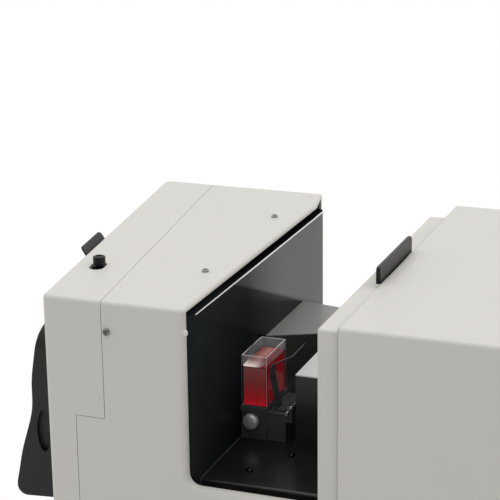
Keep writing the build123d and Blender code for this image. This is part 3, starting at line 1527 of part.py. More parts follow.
def build():
    """Every sub-part by its name."""
    handle_places = [(place, (0, 0, -1)) for place in handle_screw_places()]
    return {
        "base_pan": base_pan(),
        "rubber_feet": rubber_feet(),
        "optics_deck": deck(),
        "front_cap": front_cap(),
        "main_cover": main_cover(),
        "rear_housing": rear_housing(),
        "rear_panel": rear_panel(),
        "pan_screws": grouped_screws(cap_screw_places + top_screw_places
                                     + low_screw_places + floor_screw_places),
        "compartment_wall": compartment_wall(),
        "compartment_floor": compartment_floor(),
        "light_seal": light_seal(),
        "reference_duct": reference_duct(),
        "lens_box": lens_box(),
        "lens_box_lid": lens_box_cover(),
        "beam_windows": beam_windows(),
        "cell_holder": cell_holder(),
        "cell_seat": cell_seat(),
        "thumb_screw": thumb_screw(),
        "cell_clamp": cell_clamp(),
        "cell_clamp_pin": clamp_pin(),
        "cell_clamp_spring": cell_spring(),
        "sample_cell": sample_cell(),
        "sample_liquid": sample_liquid(),
        "sliding_cover": sliding_cover(),
        "cover_handle": cover_handle(),
        "handle_screws": grouped_screws(handle_places),
        "cover_rails": cover_rails(),
        "cover_runners": cover_runners(),
        "port_cowl": cowl(),
        "port_plate": port_plate(),
        "port_shutter": port_shutter(),
        "sample_clamp": sample_clamp(),
        "sample_clamp_pad": clamp_pad(),
        "sample_clamp_pin": sample_clamp_pin(),
        "sample_clamp_spring": sample_clamp_spring(),
        "lever_knob": lever_knob(),
        "lever_rod": lever_rod(),
        "lever_guide": lever_guide(),
        "sphere_front": sphere_half(-1),
        "sphere_rear": sphere_half(1),
        "sphere_cradle": sphere_cradle(),
        "beam_tube": beam_tube(),
        "lamp_housing": lamp_housing(),
        "flash_lamp": flash_lamp(),
        "relay_barrel": relay_barrel(),
        "relay_lens": relay_lens(),
        "spectrometer_case": spectrometer_case(),
        "spectrometer_lid": spectrometer_lid(),
        "collimating_mirror": collimating_mirror(),
        "diffraction_grating": grating(),
        "detector_board": detector_board(),
        "main_board": main_board(),
        "power_supply": power_supply(),
        "power_inlet": power_inlet(),
        "power_switch": switch_frame(),
        "power_rocker": rocker(),
        "data_port": data_port(),
        "fan_frame": fan_frame(),
        "fan_rotor": fan_rotor(),
        "sphere_bolts": sphere_bolts(),
    }


os.makedirs("parts", exist_ok=True)
for name, shape in build().items():
    export_step(shape, f"parts/{name}.step")
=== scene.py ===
import bmesh
import bpy
import math
from mathutils import Matrix, Vector


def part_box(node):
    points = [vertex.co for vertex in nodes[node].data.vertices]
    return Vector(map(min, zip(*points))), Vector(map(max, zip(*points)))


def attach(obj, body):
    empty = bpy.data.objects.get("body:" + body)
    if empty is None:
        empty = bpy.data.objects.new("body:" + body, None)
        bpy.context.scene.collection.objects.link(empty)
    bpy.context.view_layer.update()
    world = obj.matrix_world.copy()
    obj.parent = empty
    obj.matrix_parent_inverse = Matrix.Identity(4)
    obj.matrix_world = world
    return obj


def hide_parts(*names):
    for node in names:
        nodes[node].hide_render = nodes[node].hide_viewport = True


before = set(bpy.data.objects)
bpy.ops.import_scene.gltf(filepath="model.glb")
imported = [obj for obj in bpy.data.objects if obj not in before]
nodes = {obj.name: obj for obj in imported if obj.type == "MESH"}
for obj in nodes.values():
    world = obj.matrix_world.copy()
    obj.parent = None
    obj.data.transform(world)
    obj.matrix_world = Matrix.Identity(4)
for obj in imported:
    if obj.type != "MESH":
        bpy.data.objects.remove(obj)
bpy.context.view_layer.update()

# ---------------------------------------------------------------- camera
CAMERA_PLACE = Vector((0.36131, -1.27768, 0.73099))
CAMERA_RIGHT = Vector((0.93433, 0.35619, -0.01257))
CAMERA_DOWN = Vector((0.09275, -0.27704, -0.95638))
CAMERA_FORWARD = Vector((-0.34413, 0.89241, -0.29188))
FOCAL_PIXELS = 1660.66
PHOTO_PIXELS = 500.0
SENSOR = 36.0

# ---------------------------------------------------------------- measures, in metres
LINER_LEAN = 0.40              # fall of the gloss edge per metre along the wall
LINER_EDGE = 0.0365            # the gloss edge's height over the wall's top at its near end
LINER_SOFT = 0.0018            # half the width of the gloss edge
# painted light on the liner: the span over which its paler near end runs out
LINER_NEAR_LIGHT = (0.050, 0.150)    # where along the wall its paler near end runs out
LINER_SHINE = (0.122, 0.206)   # where along the wall its gloss rises
PEEL_SCALE = 260.0             # orange peel of the black lacquers, a noise scale
FLOOR_SCREWS = 0.0235          # screws' middle above the bottom of the floor's sheet
FLOOR_SCREW_BAND = 0.006
GLASS = 0.00125                # wall of the cell
BUMP_RADII = (0.0021, 0.0023, 0.0028)
BUMP_IN = 0.0020               # back from the compartment's end
BUMP_ALONG = 0.0046            # from the near face
BUMP_DOWN = 0.0197             # below the top
BEAD_RADIUS = 0.0008
BEAD_END = 0.009               # short of the wall's ends
GRIP_THICKNESS = 0.0033
GRIP_CLEARANCE = 0.0030        # above the sliding cover
FOOT_HEIGHT = 0.0065
FLOOR_HALF = 14.0


def add_camera():
    data = bpy.data.cameras.new("camera")
    data.sensor_fit = "HORIZONTAL"
    data.sensor_width = SENSOR
    data.lens = FOCAL_PIXELS / PHOTO_PIXELS * SENSOR
    data.clip_start = 0.05
    data.clip_end = 60.0
    camera = bpy.data.objects.new("camera", data)
    bpy.context.scene.collection.objects.link(camera)
    turn = Matrix((CAMERA_RIGHT, -CAMERA_DOWN, -CAMERA_FORWARD)).transposed()
    camera.matrix_world = Matrix.Translation(CAMERA_PLACE) @ turn.to_4x4()
    bpy.context.scene.camera = camera


# ---------------------------------------------------------------- materials
class Shader:
    """A node material with short calls for the nodes used here."""

    def __init__(self, name):
        self.material = bpy.data.materials.new(name)
        self.material.use_nodes = True
        self.tree = self.material.node_tree
        self.bsdf = self.tree.nodes["Principled BSDF"]
        self.coords = self.tree.nodes.new("ShaderNodeTexCoord").outputs["Object"]

    def node(self, kind, **values):
        made = self.tree.nodes.new(kind)
        for key, value in values.items():
            setattr(made, key, value)
        return made

    def link(self, source, target):
        self.tree.links.new(source, target)

    def set(self, **values):
        for key, value in values.items():
            self.bsdf.inputs[key.replace("_", " ")].default_value = value

    def noise(self, scale, detail=2.0, rough=0.5):
        made = self.node("ShaderNodeTexNoise")
        made.inputs["Scale"].default_value = scale
        made.inputs["Detail"].default_value = detail
        made.inputs["Roughness"].default_value = rough
        self.link(self.coords, made.inputs["Vector"])
        return made.outputs["Fac"]

    def ramp(self, factor, stops):
        made = self.node("ShaderNodeValToRGB")
        elements = made.color_ramp.elements
        while len(elements) < len(stops):
            elements.new(0.5)
        for element, (place, colour) in zip(elements, stops):
            element.position = place
            element.color = (*colour, 1.0)
        self.link(factor, made.inputs["Fac"])
        return made.outputs["Color"]

    def spread(self, factor, low, high, start=0.3, end=0.7):
        made = self.node("ShaderNodeMapRange")
        made.inputs["From Min"].default_value = start
        made.inputs["From Max"].default_value = end
        made.inputs["To Min"].default_value = low
        made.inputs["To Max"].default_value = high
        self.link(factor, made.inputs["Value"])
        return made.outputs["Result"]

    def over(self, below, tone, factor):
        """One colour laid over another where the factor is 1."""
        mix = self.node("ShaderNodeMix", data_type="RGBA")
        mix.inputs[7].default_value = (*tone, 1.0)
        self.link(factor, mix.inputs[0])
        self.link(below, mix.inputs[6])
        return mix.outputs[2]

    def past(self, index, start, width):
        """0 below a place along an axis and 1 a width past it."""
        return self.spread(self.axis(index), 0.0, 1.0, start, start + width)

    def both(self, first, second):
        made = self.node("ShaderNodeMath", operation="MULTIPLY")
        self.link(first, made.inputs[0])
        self.link(second, made.inputs[1])
        return made.outputs[0]

    def axis(self, index):
        made = self.node("ShaderNodeSeparateXYZ")
        self.link(self.coords, made.inputs["Vector"])
        return made.outputs[index]

    def bump(self, height, strength, distance=0.0002):
        made = self.node("ShaderNodeBump")
        made.inputs["Strength"].default_value = strength
        made.inputs["Distance"].default_value = distance
        self.link(height, made.inputs["Height"])
        self.link(made.outputs["Normal"], self.bsdf.inputs["Normal"])


def tint(colour, factor):
    return tuple(min(1.0, channel * factor) for channel in colour)


def moulded(name, colour, rough, grain=900.0, bump=0.08, mottle=0.02, lip_shadow=None, gloss=None,
            specular=0.5):
    """Moulded or painted plastic: fine texture, slight change of tone and gloss.

    A painted shadow darkens the gap at a front edge; gloss is specular rising from low to high.
    """
    shader = Shader(name)
    cloud = shader.noise(7.0, 3.0)
    paint = shader.ramp(cloud, [(0.3, tint(colour, 1 - mottle)),
                                (0.7, tint(colour, 1 + mottle))])
    # painted shadow: a darker band just behind a front edge, for the shadow gap there
    if lip_shadow:
        place, tone = lip_shadow
        front = shader.spread(shader.axis(0), 1.0, 0.0, place + 0.0003, place + 0.0012)
        paint = shader.over(paint, tone, front)
    shader.link(paint, shader.bsdf.inputs["Base Color"])
    shader.set(Specular_IOR_Level=specular)
    if gloss:
        low, high = gloss
        shader.link(shader.spread(shader.axis(2), 0.04, 0.42, low, high),
                    shader.bsdf.inputs["Specular IOR Level"])
    fine = shader.noise(grain, 2.0, 0.6)
    shader.link(shader.spread(fine, rough - 0.04, rough + 0.05), shader.bsdf.inputs["Roughness"])
    shader.bump(fine, bump)
    return shader.material


def lacquer(name, colour, rough, cloud_scale=22.0, dust=0.004, above=None, before=None,
            ridge_highlight=None):
    """Glossy black paint with faint orange peel and dust.

    The tone of above is painted light on a top face, that of before a painted highlight on a
    front edge, and that of ridge a painted highlight along the upper edge of the sides.
    """
    shader = Shader(name)
    cloud = shader.noise(cloud_scale, 4.0)
    lifted = tuple(channel + dust for channel in colour)
    paint = shader.ramp(cloud, [(0.35, colour), (0.75, lifted)])
    # painted light: a paler tone on the top face
    if above:
        height, tone = above
        paint = shader.over(paint, tone, shader.past(2, height - 0.0003, 0.0003))
    # painted highlight: a pale line along the upper edge of the sides
    if ridge_highlight:
        height, tone = ridge_highlight
        line = shader.both(shader.past(2, height - 0.0009, 0.0002),
                           shader.spread(shader.axis(2), 1.0, 0.0, height - 0.00015, height))
        paint = shader.over(paint, tone, line)
    # painted highlight: a pale line at a front edge
    if before:
        place, tone = before
        front = shader.spread(shader.axis(0), 1.0, 0.0, place, place + 0.0003)
        paint = shader.over(paint, tone, front)
    shader.link(paint, shader.bsdf.inputs["Base Color"])
    shader.link(shader.spread(cloud, rough - 0.03, rough + 0.04),
                shader.bsdf.inputs["Roughness"])
    shader.bump(shader.noise(PEEL_SCALE, 2.0), 0.04)
    return shader.material


def liner_paint(name, colour, rough, low, high):
    """Black liner: paler toward its near end, a painted light; duller toward its near end and
    low down, and matt on its top plate.

    The slanted edge stands for a reflection that the photograph shows. It is fixed to the
    wall and doesn't move with the light.
    """
    shader = Shader(name)
    cloud = shader.noise(14.0, 3.0)
    lifted = tuple(channel + 0.002 for channel in colour)
    # painted light: the wall's colour grows paler toward its near end
    paint = shader.over(shader.ramp(cloud, [(0.35, colour), (0.75, lifted)]),
                        tint(colour, 3.2),
                        shader.spread(shader.axis(1), 1.0, 0.0,
                                      low.y + LINER_NEAR_LIGHT[0], low.y + LINER_NEAR_LIGHT[1]))
    shader.link(paint, shader.bsdf.inputs["Base Color"])
    side = shader.spread(shader.axis(2), 1.0, 0.0, high.z - 0.0003, high.z - 0.0001)
    shader.link(shader.spread(cloud, rough - 0.02, rough + 0.02),
                shader.bsdf.inputs["Roughness"])
    along = shader.spread(shader.axis(1), 0.07, 0.66,
                          low.y + LINER_SHINE[0], low.y + LINER_SHINE[1])
    lean = shader.node("ShaderNodeMath", operation="MULTIPLY_ADD")
    lean.inputs[1].default_value = LINER_LEAN
    shader.link(shader.axis(1), lean.inputs[0])
    shader.link(shader.axis(2), lean.inputs[2])
    edge = high.z + LINER_LEAN * low.y + LINER_EDGE
    upper = shader.spread(lean.outputs[0], 0.08, 1.0, edge - LINER_SOFT, edge + LINER_SOFT)
    shader.link(shader.both(shader.both(side, along), upper),
                shader.bsdf.inputs["Specular IOR Level"])
    shader.bump(shader.noise(PEEL_SCALE, 2.0), 0.03)
    return shader.material


def metal(name, colour, rough, grain=700.0, metallic=1.0, bump=0.05, dark_at=None):
    """Bare or plated metal with a fine grain; screws at the height dark_at are blackened."""
    shader = Shader(name)
    grainy = shader.noise(grain, 3.0, 0.6)
    tone = shader.ramp(grainy, [(0.3, tint(colour, 0.9)), (0.7, tint(colour, 1.06))])
    if dark_at:
        level = shader.node("ShaderNodeMath", operation="COMPARE")
        level.inputs[1].default_value = dark_at
        level.inputs[2].default_value = FLOOR_SCREW_BAND
        shader.link(shader.axis(2), level.inputs[0])
        tone = shader.over(tone, (0.03, 0.03, 0.03), level.outputs[0])
    shader.link(tone, shader.bsdf.inputs["Base Color"])
    shader.link(shader.spread(grainy, rough - 0.05, rough + 0.07),
                shader.bsdf.inputs["Roughness"])
    shader.set(Metallic=metallic)
    shader.bump(grainy, bump, 0.00005)
    return shader.material


def clear(name, colour, alpha, rough=0.03, level=None, wet=0.3, across=None):
    """Thin clear wall: mostly see-through, with gloss and faint smears.

    Below the level of a liquid behind it the wall is clearer, by the factor wet, and
    across a span of y it gets cloudier.
    """
    shader = Shader(name)
    smear = shader.noise(60.0, 3.0)
    shader.link(shader.ramp(smear, [(0.3, tint(colour, 0.94)), (0.7, colour)]),
                shader.bsdf.inputs["Base Color"])
    shader.link(shader.spread(smear, rough, rough + 0.05), shader.bsdf.inputs["Roughness"])
    cover = shader.spread(smear, alpha * 0.85, alpha * 1.15)
    if level:
        dry = shader.spread(shader.axis(2), wet, 1.0, level - 0.0006, level + 0.0006)
        cover = shader.both(cover, dry)
    if across:
        cover = shader.both(cover, shader.spread(shader.axis(1), 0.75, 1.75, *across))
    shader.link(cover, shader.bsdf.inputs["Alpha"])
    shader.set(IOR=1.47, Specular_IOR_Level=0.25)
    return shader.material


def foam(name, colour):
    """Open-cell foam."""
    shader = Shader(name)
    cells = shader.node("ShaderNodeTexVoronoi")
    cells.inputs["Scale"].default_value = 900.0
    shader.link(shader.coords, cells.inputs["Vector"])
    shader.link(shader.ramp(cells.outputs["Distance"], [(0.1, tint(colour, 0.4)),
                                                        (0.6, colour)]),
                shader.bsdf.inputs["Base Color"])
    shader.set(Roughness=0.95)
    shader.bump(cells.outputs["Distance"], 0.5, 0.0003)
    return shader.material


def liquid(name, low, high):
    """Red liquid, brighter toward its bottom and pale on its surface, a painted reflection.

    It gives off its own light, which stands for the light that comes through it.
    """
    shader = Shader(name)
    height = shader.spread(shader.axis(2), 0.0, 1.0, low.z, high.z)
    cloud = shader.noise(45.0, 2.0)
    mix = shader.node("ShaderNodeMath", operation="MULTIPLY_ADD")
    mix.inputs[1].default_value = 0.10
    shader.link(cloud, mix.inputs[0])
    shader.link(height, mix.inputs[2])
    front = shader.ramp(mix.outputs[0], [(0.04, (0.38, 0.006, 0.012)),
                                         (0.20, (0.215, 0.006, 0.010)),
                                         (0.55, (0.105, 0.016, 0.015)),
                                         (0.88, (0.100, 0.030, 0.028)),
                                         (0.97, (0.105, 0.040, 0.037)),
                                         (1.02, (0.030, 0.010, 0.010))])
    # painted light: the right face glows a deeper red than the front
    side = shader.past(0, high.x - 0.0006, 0.0003)
    glow = shader.node("ShaderNodeMix", data_type="RGBA")
    glow.inputs[7].default_value = (0.105, 0.0005, 0.003, 1.0)
    shader.link(side, glow.inputs[0])
    shader.link(front, glow.inputs[6])
    across = shader.spread(shader.axis(0), 0.0, 1.0, low.x, high.x)
    # painted reflection: the pale band across the surface, amid its reds
    surface_and_reflection = shader.ramp(across, [(0.0, (0.085, 0.022, 0.020)), (0.18, (0.20, 0.095, 0.085)),
                                 (0.42, (0.34, 0.17, 0.155)), (0.62, (0.16, 0.012, 0.018)),
                                 (1.0, (0.13, 0.003, 0.008))])
    # painted highlight: pale glare near the surface's front edge
    glare = shader.both(shader.spread(shader.axis(1), 1.0, 0.0, low.y + 0.0030, low.y + 0.0150),
                        shader.spread(across, 1.0, 0.0, 0.42, 0.80))
    surface = shader.over(surface_and_reflection, (0.84, 0.74, 0.70), glare)
    lit = shader.node("ShaderNodeMix", data_type="RGBA")
    shader.link(shader.past(2, high.z - 0.0016, 0.0003), lit.inputs[0])
    shader.link(glow.outputs[2], lit.inputs[6])
    shader.link(surface, lit.inputs[7])
    shader.link(lit.outputs[2], shader.bsdf.inputs["Emission Color"])
    shader.link(shader.ramp(cloud, [(0.3, (0.10, 0.001, 0.002)), (0.7, (0.13, 0.002, 0.003))]),
                shader.bsdf.inputs["Base Color"])
    shader.set(Roughness=0.06, IOR=1.34, Emission_Strength=0.85, Specular_IOR_Level=0.25)
    return shader.material


def circuit_board(name):
    """Green board with a faint grid of tracks."""
    shader = Shader(name)
    tracks = shader.node("ShaderNodeTexBrick")
    tracks.inputs["Scale"].default_value = 160.0
    tracks.inputs["Color1"].default_value = (0.02, 0.16, 0.07, 1.0)
    tracks.inputs["Color2"].default_value = (0.03, 0.20, 0.09, 1.0)
    tracks.inputs["Mortar"].default_value = (0.05, 0.28, 0.13, 1.0)
    shader.link(shader.coords, tracks.inputs["Vector"])
    shader.link(tracks.outputs["Color"], shader.bsdf.inputs["Base Color"])
    shader.set(Roughness=0.35)
    shader.bump(tracks.outputs["Fac"], 0.1)
    return shader.material


SHELL = (0.800, 0.776, 0.732)


def dress_nodes():
    """Give every CAD node its material."""
    shell = moulded("shell_paint", SHELL, 0.42, 1100.0, 0.05, 0.012)
    cowl = moulded("cowl_plastic", (0.015, 0.015, 0.016), 0.46, 800.0, 0.14, 0.08)
    knob = moulded("knob_plastic", (0.009, 0.009, 0.009), 0.40, 900.0, 0.12, 0.08,
                   specular=0.3)
    # painted shadow along the housing's front edge, where the sliding cover meets it
    housing = moulded("housing_paint", SHELL, 0.42, 1100.0, 0.05, 0.012,
                      lip_shadow=(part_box("rear_housing")[0].x, (0.40, 0.385, 0.36)))
    grip_low, grip_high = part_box("cover_handle")
    handle = moulded("handle_plastic", (0.012, 0.012, 0.012), 0.36, 900.0, 0.10, 0.08,
                     gloss=(grip_low.z, grip_high.z))
    liner_low, liner_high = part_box("compartment_wall")
    liner = liner_paint("liner_lacquer", (0.0075, 0.0088, 0.0093), 0.20, liner_low,
                        liner_high)
    # painted highlight: a pale line along the floor's edge at the wall
    wall = lacquer("compartment_lacquer", (0.015, 0.0135, 0.0145), 0.24,
                   before=(liner_high.x + 0.0005, (0.17, 0.165, 0.16)))
    lens = lacquer("lens_lacquer", (0.018, 0.019, 0.0185), 0.26)
    duct_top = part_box("reference_duct")[1].z
    deck = lacquer("deck_lacquer", (0.016, 0.016, 0.017), 0.32)
    # painted light: the duct's top face is much paler than its sides
    duct = lacquer("duct_lacquer", (0.072, 0.072, 0.070), 0.30, 12.0,
                   above=(duct_top, (0.35, 0.35, 0.34)))
    # painted highlight along the upper edge of the holder's sides
    holder = lacquer("holder_lacquer", (0.078, 0.080, 0.080), 0.34, dust=0.018,
                     ridge_highlight=(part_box("cell_holder")[1].z, (0.34, 0.34, 0.33)))
    pan = moulded("pan_paint", (0.42, 0.42, 0.41), 0.5, 700.0, 0.1, 0.04)
    panel = moulded("panel_paint", (0.52, 0.52, 0.51), 0.48, 900.0, 0.1, 0.03)
    screws_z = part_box("compartment_floor")[0].z + FLOOR_SCREWS
    steel = metal("screw_steel", (0.29, 0.285, 0.275), 0.18, dark_at=screws_z)
    spring = metal("spring_steel", (0.50, 0.50, 0.50), 0.24)
    bright = moulded("bright_plate", (0.985, 0.985, 0.975), 0.24, 500.0, 0.03, 0.01,
                     specular=0.95)
    cast = metal("cast_aluminium", (0.60, 0.60, 0.60), 0.55, grain=420.0)
    lever = metal("blued_lever", (0.125, 0.140, 0.145), 0.30, metallic=0.7)
    chrome = metal("thumb_steel", (0.86, 0.86, 0.86), 0.20, grain=900.0)
    rubber = moulded("rubber", (0.022, 0.022, 0.022), 0.85, 600.0, 0.25, 0.1)
    white = moulded("sphere_coat", (0.86, 0.86, 0.84), 0.8, 1400.0, 0.2, 0.01)
    ring = moulded("port_ring", (0.80, 0.80, 0.78), 0.55, 900.0, 0.05, 0.02)
    grey = moulded("grey_nylon", (0.16, 0.16, 0.17), 0.5, 700.0, 0.1, 0.05)
    guide = moulded("guide_nylon", (0.006, 0.006, 0.006), 0.6, 700.0, 0.1, 0.05,
                    specular=0.15)
    black = moulded("black_nylon", (0.020, 0.020, 0.021), 0.45, 700.0, 0.1, 0.06)
    glass = clear("window_glass", (0.85, 0.90, 0.90), 0.25)
    mirror = metal("mirror_face", (0.90, 0.90, 0.91), 0.05, bump=0.0)
    seal = foam("seal_foam", (0.014, 0.014, 0.014))
    board = circuit_board("board")
    for material, names in (
            (shell, ("front_cap", "main_cover", "sliding_cover")),
            (housing, ("rear_housing",)),
            (cowl, ("port_cowl", "sample_clamp")),
            (handle, ("cover_handle",)),
            (knob, ("port_shutter", "lever_knob")),
            (liner, ("compartment_wall",)),
            (wall, ("compartment_floor",)),
            (lens, ("lens_box",)),
            (holder, ("cell_holder", "cell_seat")),
            (deck, ("optics_deck", "beam_tube", "relay_barrel")),
            (duct, ("reference_duct",)),
            (pan, ("base_pan",)),
            (panel, ("rear_panel", "power_supply")),
            (steel, ("pan_screws", "handle_screws", "sphere_bolts", "sample_clamp_pin")),
            (spring, ("cell_clamp_spring", "sample_clamp_spring")),
            (bright, ("lens_box_lid",)),
            (cast, ("cover_rails", "lamp_housing", "spectrometer_case", "spectrometer_lid")),
            (lever, ("cell_clamp",)),
            (chrome, ("thumb_screw", "cell_clamp_pin", "data_port")),
            (rubber, ("rubber_feet", "sample_clamp_pad")),
            (white, ("sphere_front", "sphere_rear")),
            (ring, ("port_plate",)),
            (grey, ("cover_runners", "sphere_cradle")),
            (guide, ("lever_guide", "lever_rod")),
            (black, ("power_inlet", "power_switch", "power_rocker", "fan_frame",
                     "fan_rotor")),
            (glass, ("beam_windows", "flash_lamp", "relay_lens", "sample_cell",
                     "sample_liquid")),
            (mirror, ("collimating_mirror", "diffraction_grating")),
            (seal, ("light_seal",)),
            (board, ("detector_board", "main_board"))):
        for name in names:
            slots = nodes[name].data.materials
            slots.clear()
            slots.append(material)


# ---------------------------------------------------------------- detail pieces
def new_piece(name, mesh_maker, body, materials, replaced=()):
    """Object from bmesh code, riding on a body."""
    mesh = bpy.data.meshes.new(name)
    work = bmesh.new()
    mesh_maker(work)
    bmesh.ops.recalc_face_normals(work, faces=work.faces)
    work.to_mesh(mesh)
    work.free()
    for material in materials:
        mesh.materials.append(material)
    piece = bpy.data.objects.new(name, mesh)
    bpy.context.scene.collection.objects.link(piece)
    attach(piece, body)
    if replaced:
        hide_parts(*replaced)
    return piece


def box_corners(low, high):
    """Corners of a box, the lower four first."""
    return [Vector((x, y, z)) for z in (low.z, high.z)
            for x, y in ((low.x, low.y), (high.x, low.y), (high.x, high.y), (low.x, high.y))]


def cell_walls(work):
    """Open glass box with bevelled, brighter edges."""
    low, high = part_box("sample_cell")
    inner_low = low + Vector((GLASS, GLASS, GLASS))
    inner_high = high - Vector((GLASS, GLASS, 0.0))
    out = [work.verts.new(place) for place in box_corners(low, high)]
    ins = [work.verts.new(place) for place in box_corners(inner_low, inner_high)]
    work.faces.new(out[0:4])
    work.faces.new(ins[0:4])
    for index in range(4):
        after = (index + 1) % 4
        work.faces.new((out[index], out[after], out[4 + after], out[4 + index]))
        work.faces.new((ins[index], ins[after], ins[4 + after], ins[4 + index]))
        work.faces.new((out[4 + index], out[4 + after], ins[4 + after], ins[4 + index]))
    sharp = [edge for edge in work.edges
             if all(vertex in out for vertex in edge.verts)
             or all(vertex.co.z > high.z - 1e-6 for vertex in edge.verts)]
    made = bmesh.ops.bevel(work, geom=sharp, offset=0.0004, segments=2, profile=0.5,
                           affect="EDGES")
    for face in made["faces"]:
        face.material_index = 1
    for face in work.faces:
        if face.calc_center_median().z > high.z - 0.0001:
            face.material_index = 1


def liquid_body(work):
    """Liquid a hair inside the glass, its surface drawn up at the walls."""
    low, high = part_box("sample_liquid")
    gap = 0.00012
    x0, x1 = low.x + gap, high.x - gap
    y0, y1 = low.y + gap, high.y - gap
    columns, rows = 14, 26
    rise = 0.0011

    def level(x, y):
        edge = min(x - x0, x1 - x, y - y0, y1 - y)
        return high.z - 0.0012 + rise * math.exp(-edge / 0.0012)

    def spaced(start, end, count):
        return [start + (end - start) * 0.5 * (1 - math.cos(math.pi * index / count))
                for index in range(count + 1)]

    xs, ys = spaced(x0, x1, columns), spaced(y0, y1, rows)
    grid = [[work.verts.new((x, y, level(x, y))) for y in ys] for x in xs]
    for i in range(columns):
        for j in range(rows):
            work.faces.new((grid[i][j], grid[i + 1][j], grid[i + 1][j + 1], grid[i][j + 1]))
    rim = ([grid[i][0] for i in range(columns)] + [grid[columns][j] for j in range(rows)]
           + [grid[i][rows] for i in range(columns, 0, -1)]
           + [grid[0][j] for j in range(rows, 0, -1)])
    foot = [work.verts.new((vertex.co.x, vertex.co.y, low.z + gap)) for vertex in rim]
    for index, vertex in enumerate(rim):
        after = (index + 1) % len(rim)
        work.faces.new((vertex, rim[after], foot[after], foot[index]))
    work.faces.new(foot)


def thumb_head(work):
    """Turned screw with a knurled rim and a slightly domed face."""
    low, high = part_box("thumb_screw")
    centre_x = (low.x + high.x) / 2
    centre_z = (low.z + high.z) / 2
    radius = (high.x - low.x) / 2
    front = low.y
    back = low.y + 0.006
    shank = 0.0025
    steps = 96
    profile = [(0.0, front), (radius * 0.45, front + 0.0001),
               (radius * 0.75, front + 0.0004), (radius * 0.86, front + 0.0007),
               (radius * 0.95, front + 0.0013), (radius, front + 0.0020),
               (radius, back - 0.0006), (radius * 0.94, back), (shank, back),
               (shank, high.y - 0.0005), (shank - 0.0005, high.y), (0.0, high.y)]
    rings = []
    for distance, y in profile:
        if distance == 0.0:
            rings.append([work.verts.new((centre_x, y, centre_z))])
            continue
        ring = []
        for step in range(steps):
            angle = 2 * math.pi * step / steps
            knurl = 0.00022 if step % 2 and distance > radius * 0.99 else 0.0
            reach = distance - knurl
            ring.append(work.verts.new((centre_x + reach * math.cos(angle), y,
                                        centre_z + reach * math.sin(angle))))
        rings.append(ring)
    for first, second in zip(rings, rings[1:]):
        for step in range(steps):
            after = (step + 1) % steps
            if len(first) == 1:
                work.faces.new((first[0], second[step], second[after]))
            elif len(second) == 1:
                work.faces.new((first[step], second[0], first[after]))
            else:
                work.faces.new((first[step], second[step], second[after], first[after]))


def bump_stop(work):
    """Small domed stop on the end of the rim, where the sliding cover closes."""
    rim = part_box("compartment_wall")[1].x - BUMP_IN
    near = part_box("main_cover")[0].y
    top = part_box("main_cover")[1].z
    made = bmesh.ops.create_uvsphere(work, u_segments=24, v_segments=16, radius=1.0)
    place = Matrix.Translation((rim, near + BUMP_ALONG, top - BUMP_DOWN))
    shape = Matrix.Diagonal((*BUMP_RADII, 1.0))
    bmesh.ops.transform(work, matrix=place @ shape, verts=made["verts"])
    for face in work.faces:
        face.smooth = True


def liner_bead(work):
    """Bare rolled edge along the top of the compartment's left wall."""
    low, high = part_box("compartment_wall")
    centre_x, centre_z = high.x - 0.0002, high.z - 0.0003
    steps = 16
    angles = [2 * math.pi * step / steps for step in range(steps)]
    skin(work, [[(centre_x + BEAD_RADIUS * math.cos(angle), y,
                  centre_z + BEAD_RADIUS * math.sin(angle)) for angle in angles]
                for y in (low.y + BEAD_END, high.y - BEAD_END)])


def rounded_loop(spans, radii, steps=6):
    """Points of a rectangle with rounded corners, in two axes."""
    (a0, a1), (b0, b1) = spans
    points = []
    for (a, b), radius, turn in zip(((a1, b1), (a0, b1), (a0, b0), (a1, b0)), radii,
                                    (0.0, 0.5, 1.0, 1.5)):
        centre_a = a - radius if a == a1 else a + radius
        centre_b = b - radius if b == b1 else b + radius
        for step in range(steps + 1):
            angle = math.pi * (turn + 0.5 * step / steps)
            points.append((centre_a + radius * math.cos(angle),
                           centre_b + radius * math.sin(angle)))
    return points


def skin(work, loops):
    """Closed solid through loops of points."""
    rings = [[work.verts.new(point) for point in loop] for loop in loops]
    for first, second in zip(rings, rings[1:]):
        for index in range(len(first)):
            after = (index + 1) % len(first)
            work.faces.new((first[index], first[after], second[after], second[index]))
    work.faces.new(rings[0])
    work.faces.new(rings[-1])


def handle_bar(work):
    """Upright grip with a bevelled top, clear of the cover, and its foot with round ends."""
    low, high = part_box("cover_handle")
    grip = high.x - GRIP_THICKNESS
    bevel = 0.0012
    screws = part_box("handle_screws")
    foot_y = (screws[0].y - 0.0015, screws[1].y + 0.0015)
    bottom = low.z + GRIP_CLEARANCE
    full = rounded_loop(((low.y, high.y), (bottom, high.z)), (0.0025, 0.0025, 0.001, 0.001))
    inner = rounded_loop(((low.y + bevel, high.y - bevel), (bottom, high.z - bevel)),
                         (0.0015, 0.0015, 0.001, 0.001))
    skin(work, ([(grip, y, z) for y, z in full], [(high.x - bevel, y, z) for y, z in full],
                [(high.x, y, z) for y, z in inner]))
    width = grip + 0.0004 - low.x
    outline = rounded_loop(((low.x, grip + 0.0004), foot_y), (width / 2 - 0.0002,) * 4)
    top = rounded_loop(((low.x + 0.0008, grip - 0.0004), (foot_y[0] + 0.0008,
                                                          foot_y[1] - 0.0008)),
                       (width / 2 - 0.0011,) * 4)
    crown = low.z + FOOT_HEIGHT
    skin(work, ([(x, y, low.z) for x, y in outline],
                [(x, y, crown - 0.0008) for x, y in outline],
                [(x, y, crown) for x, y in top]))


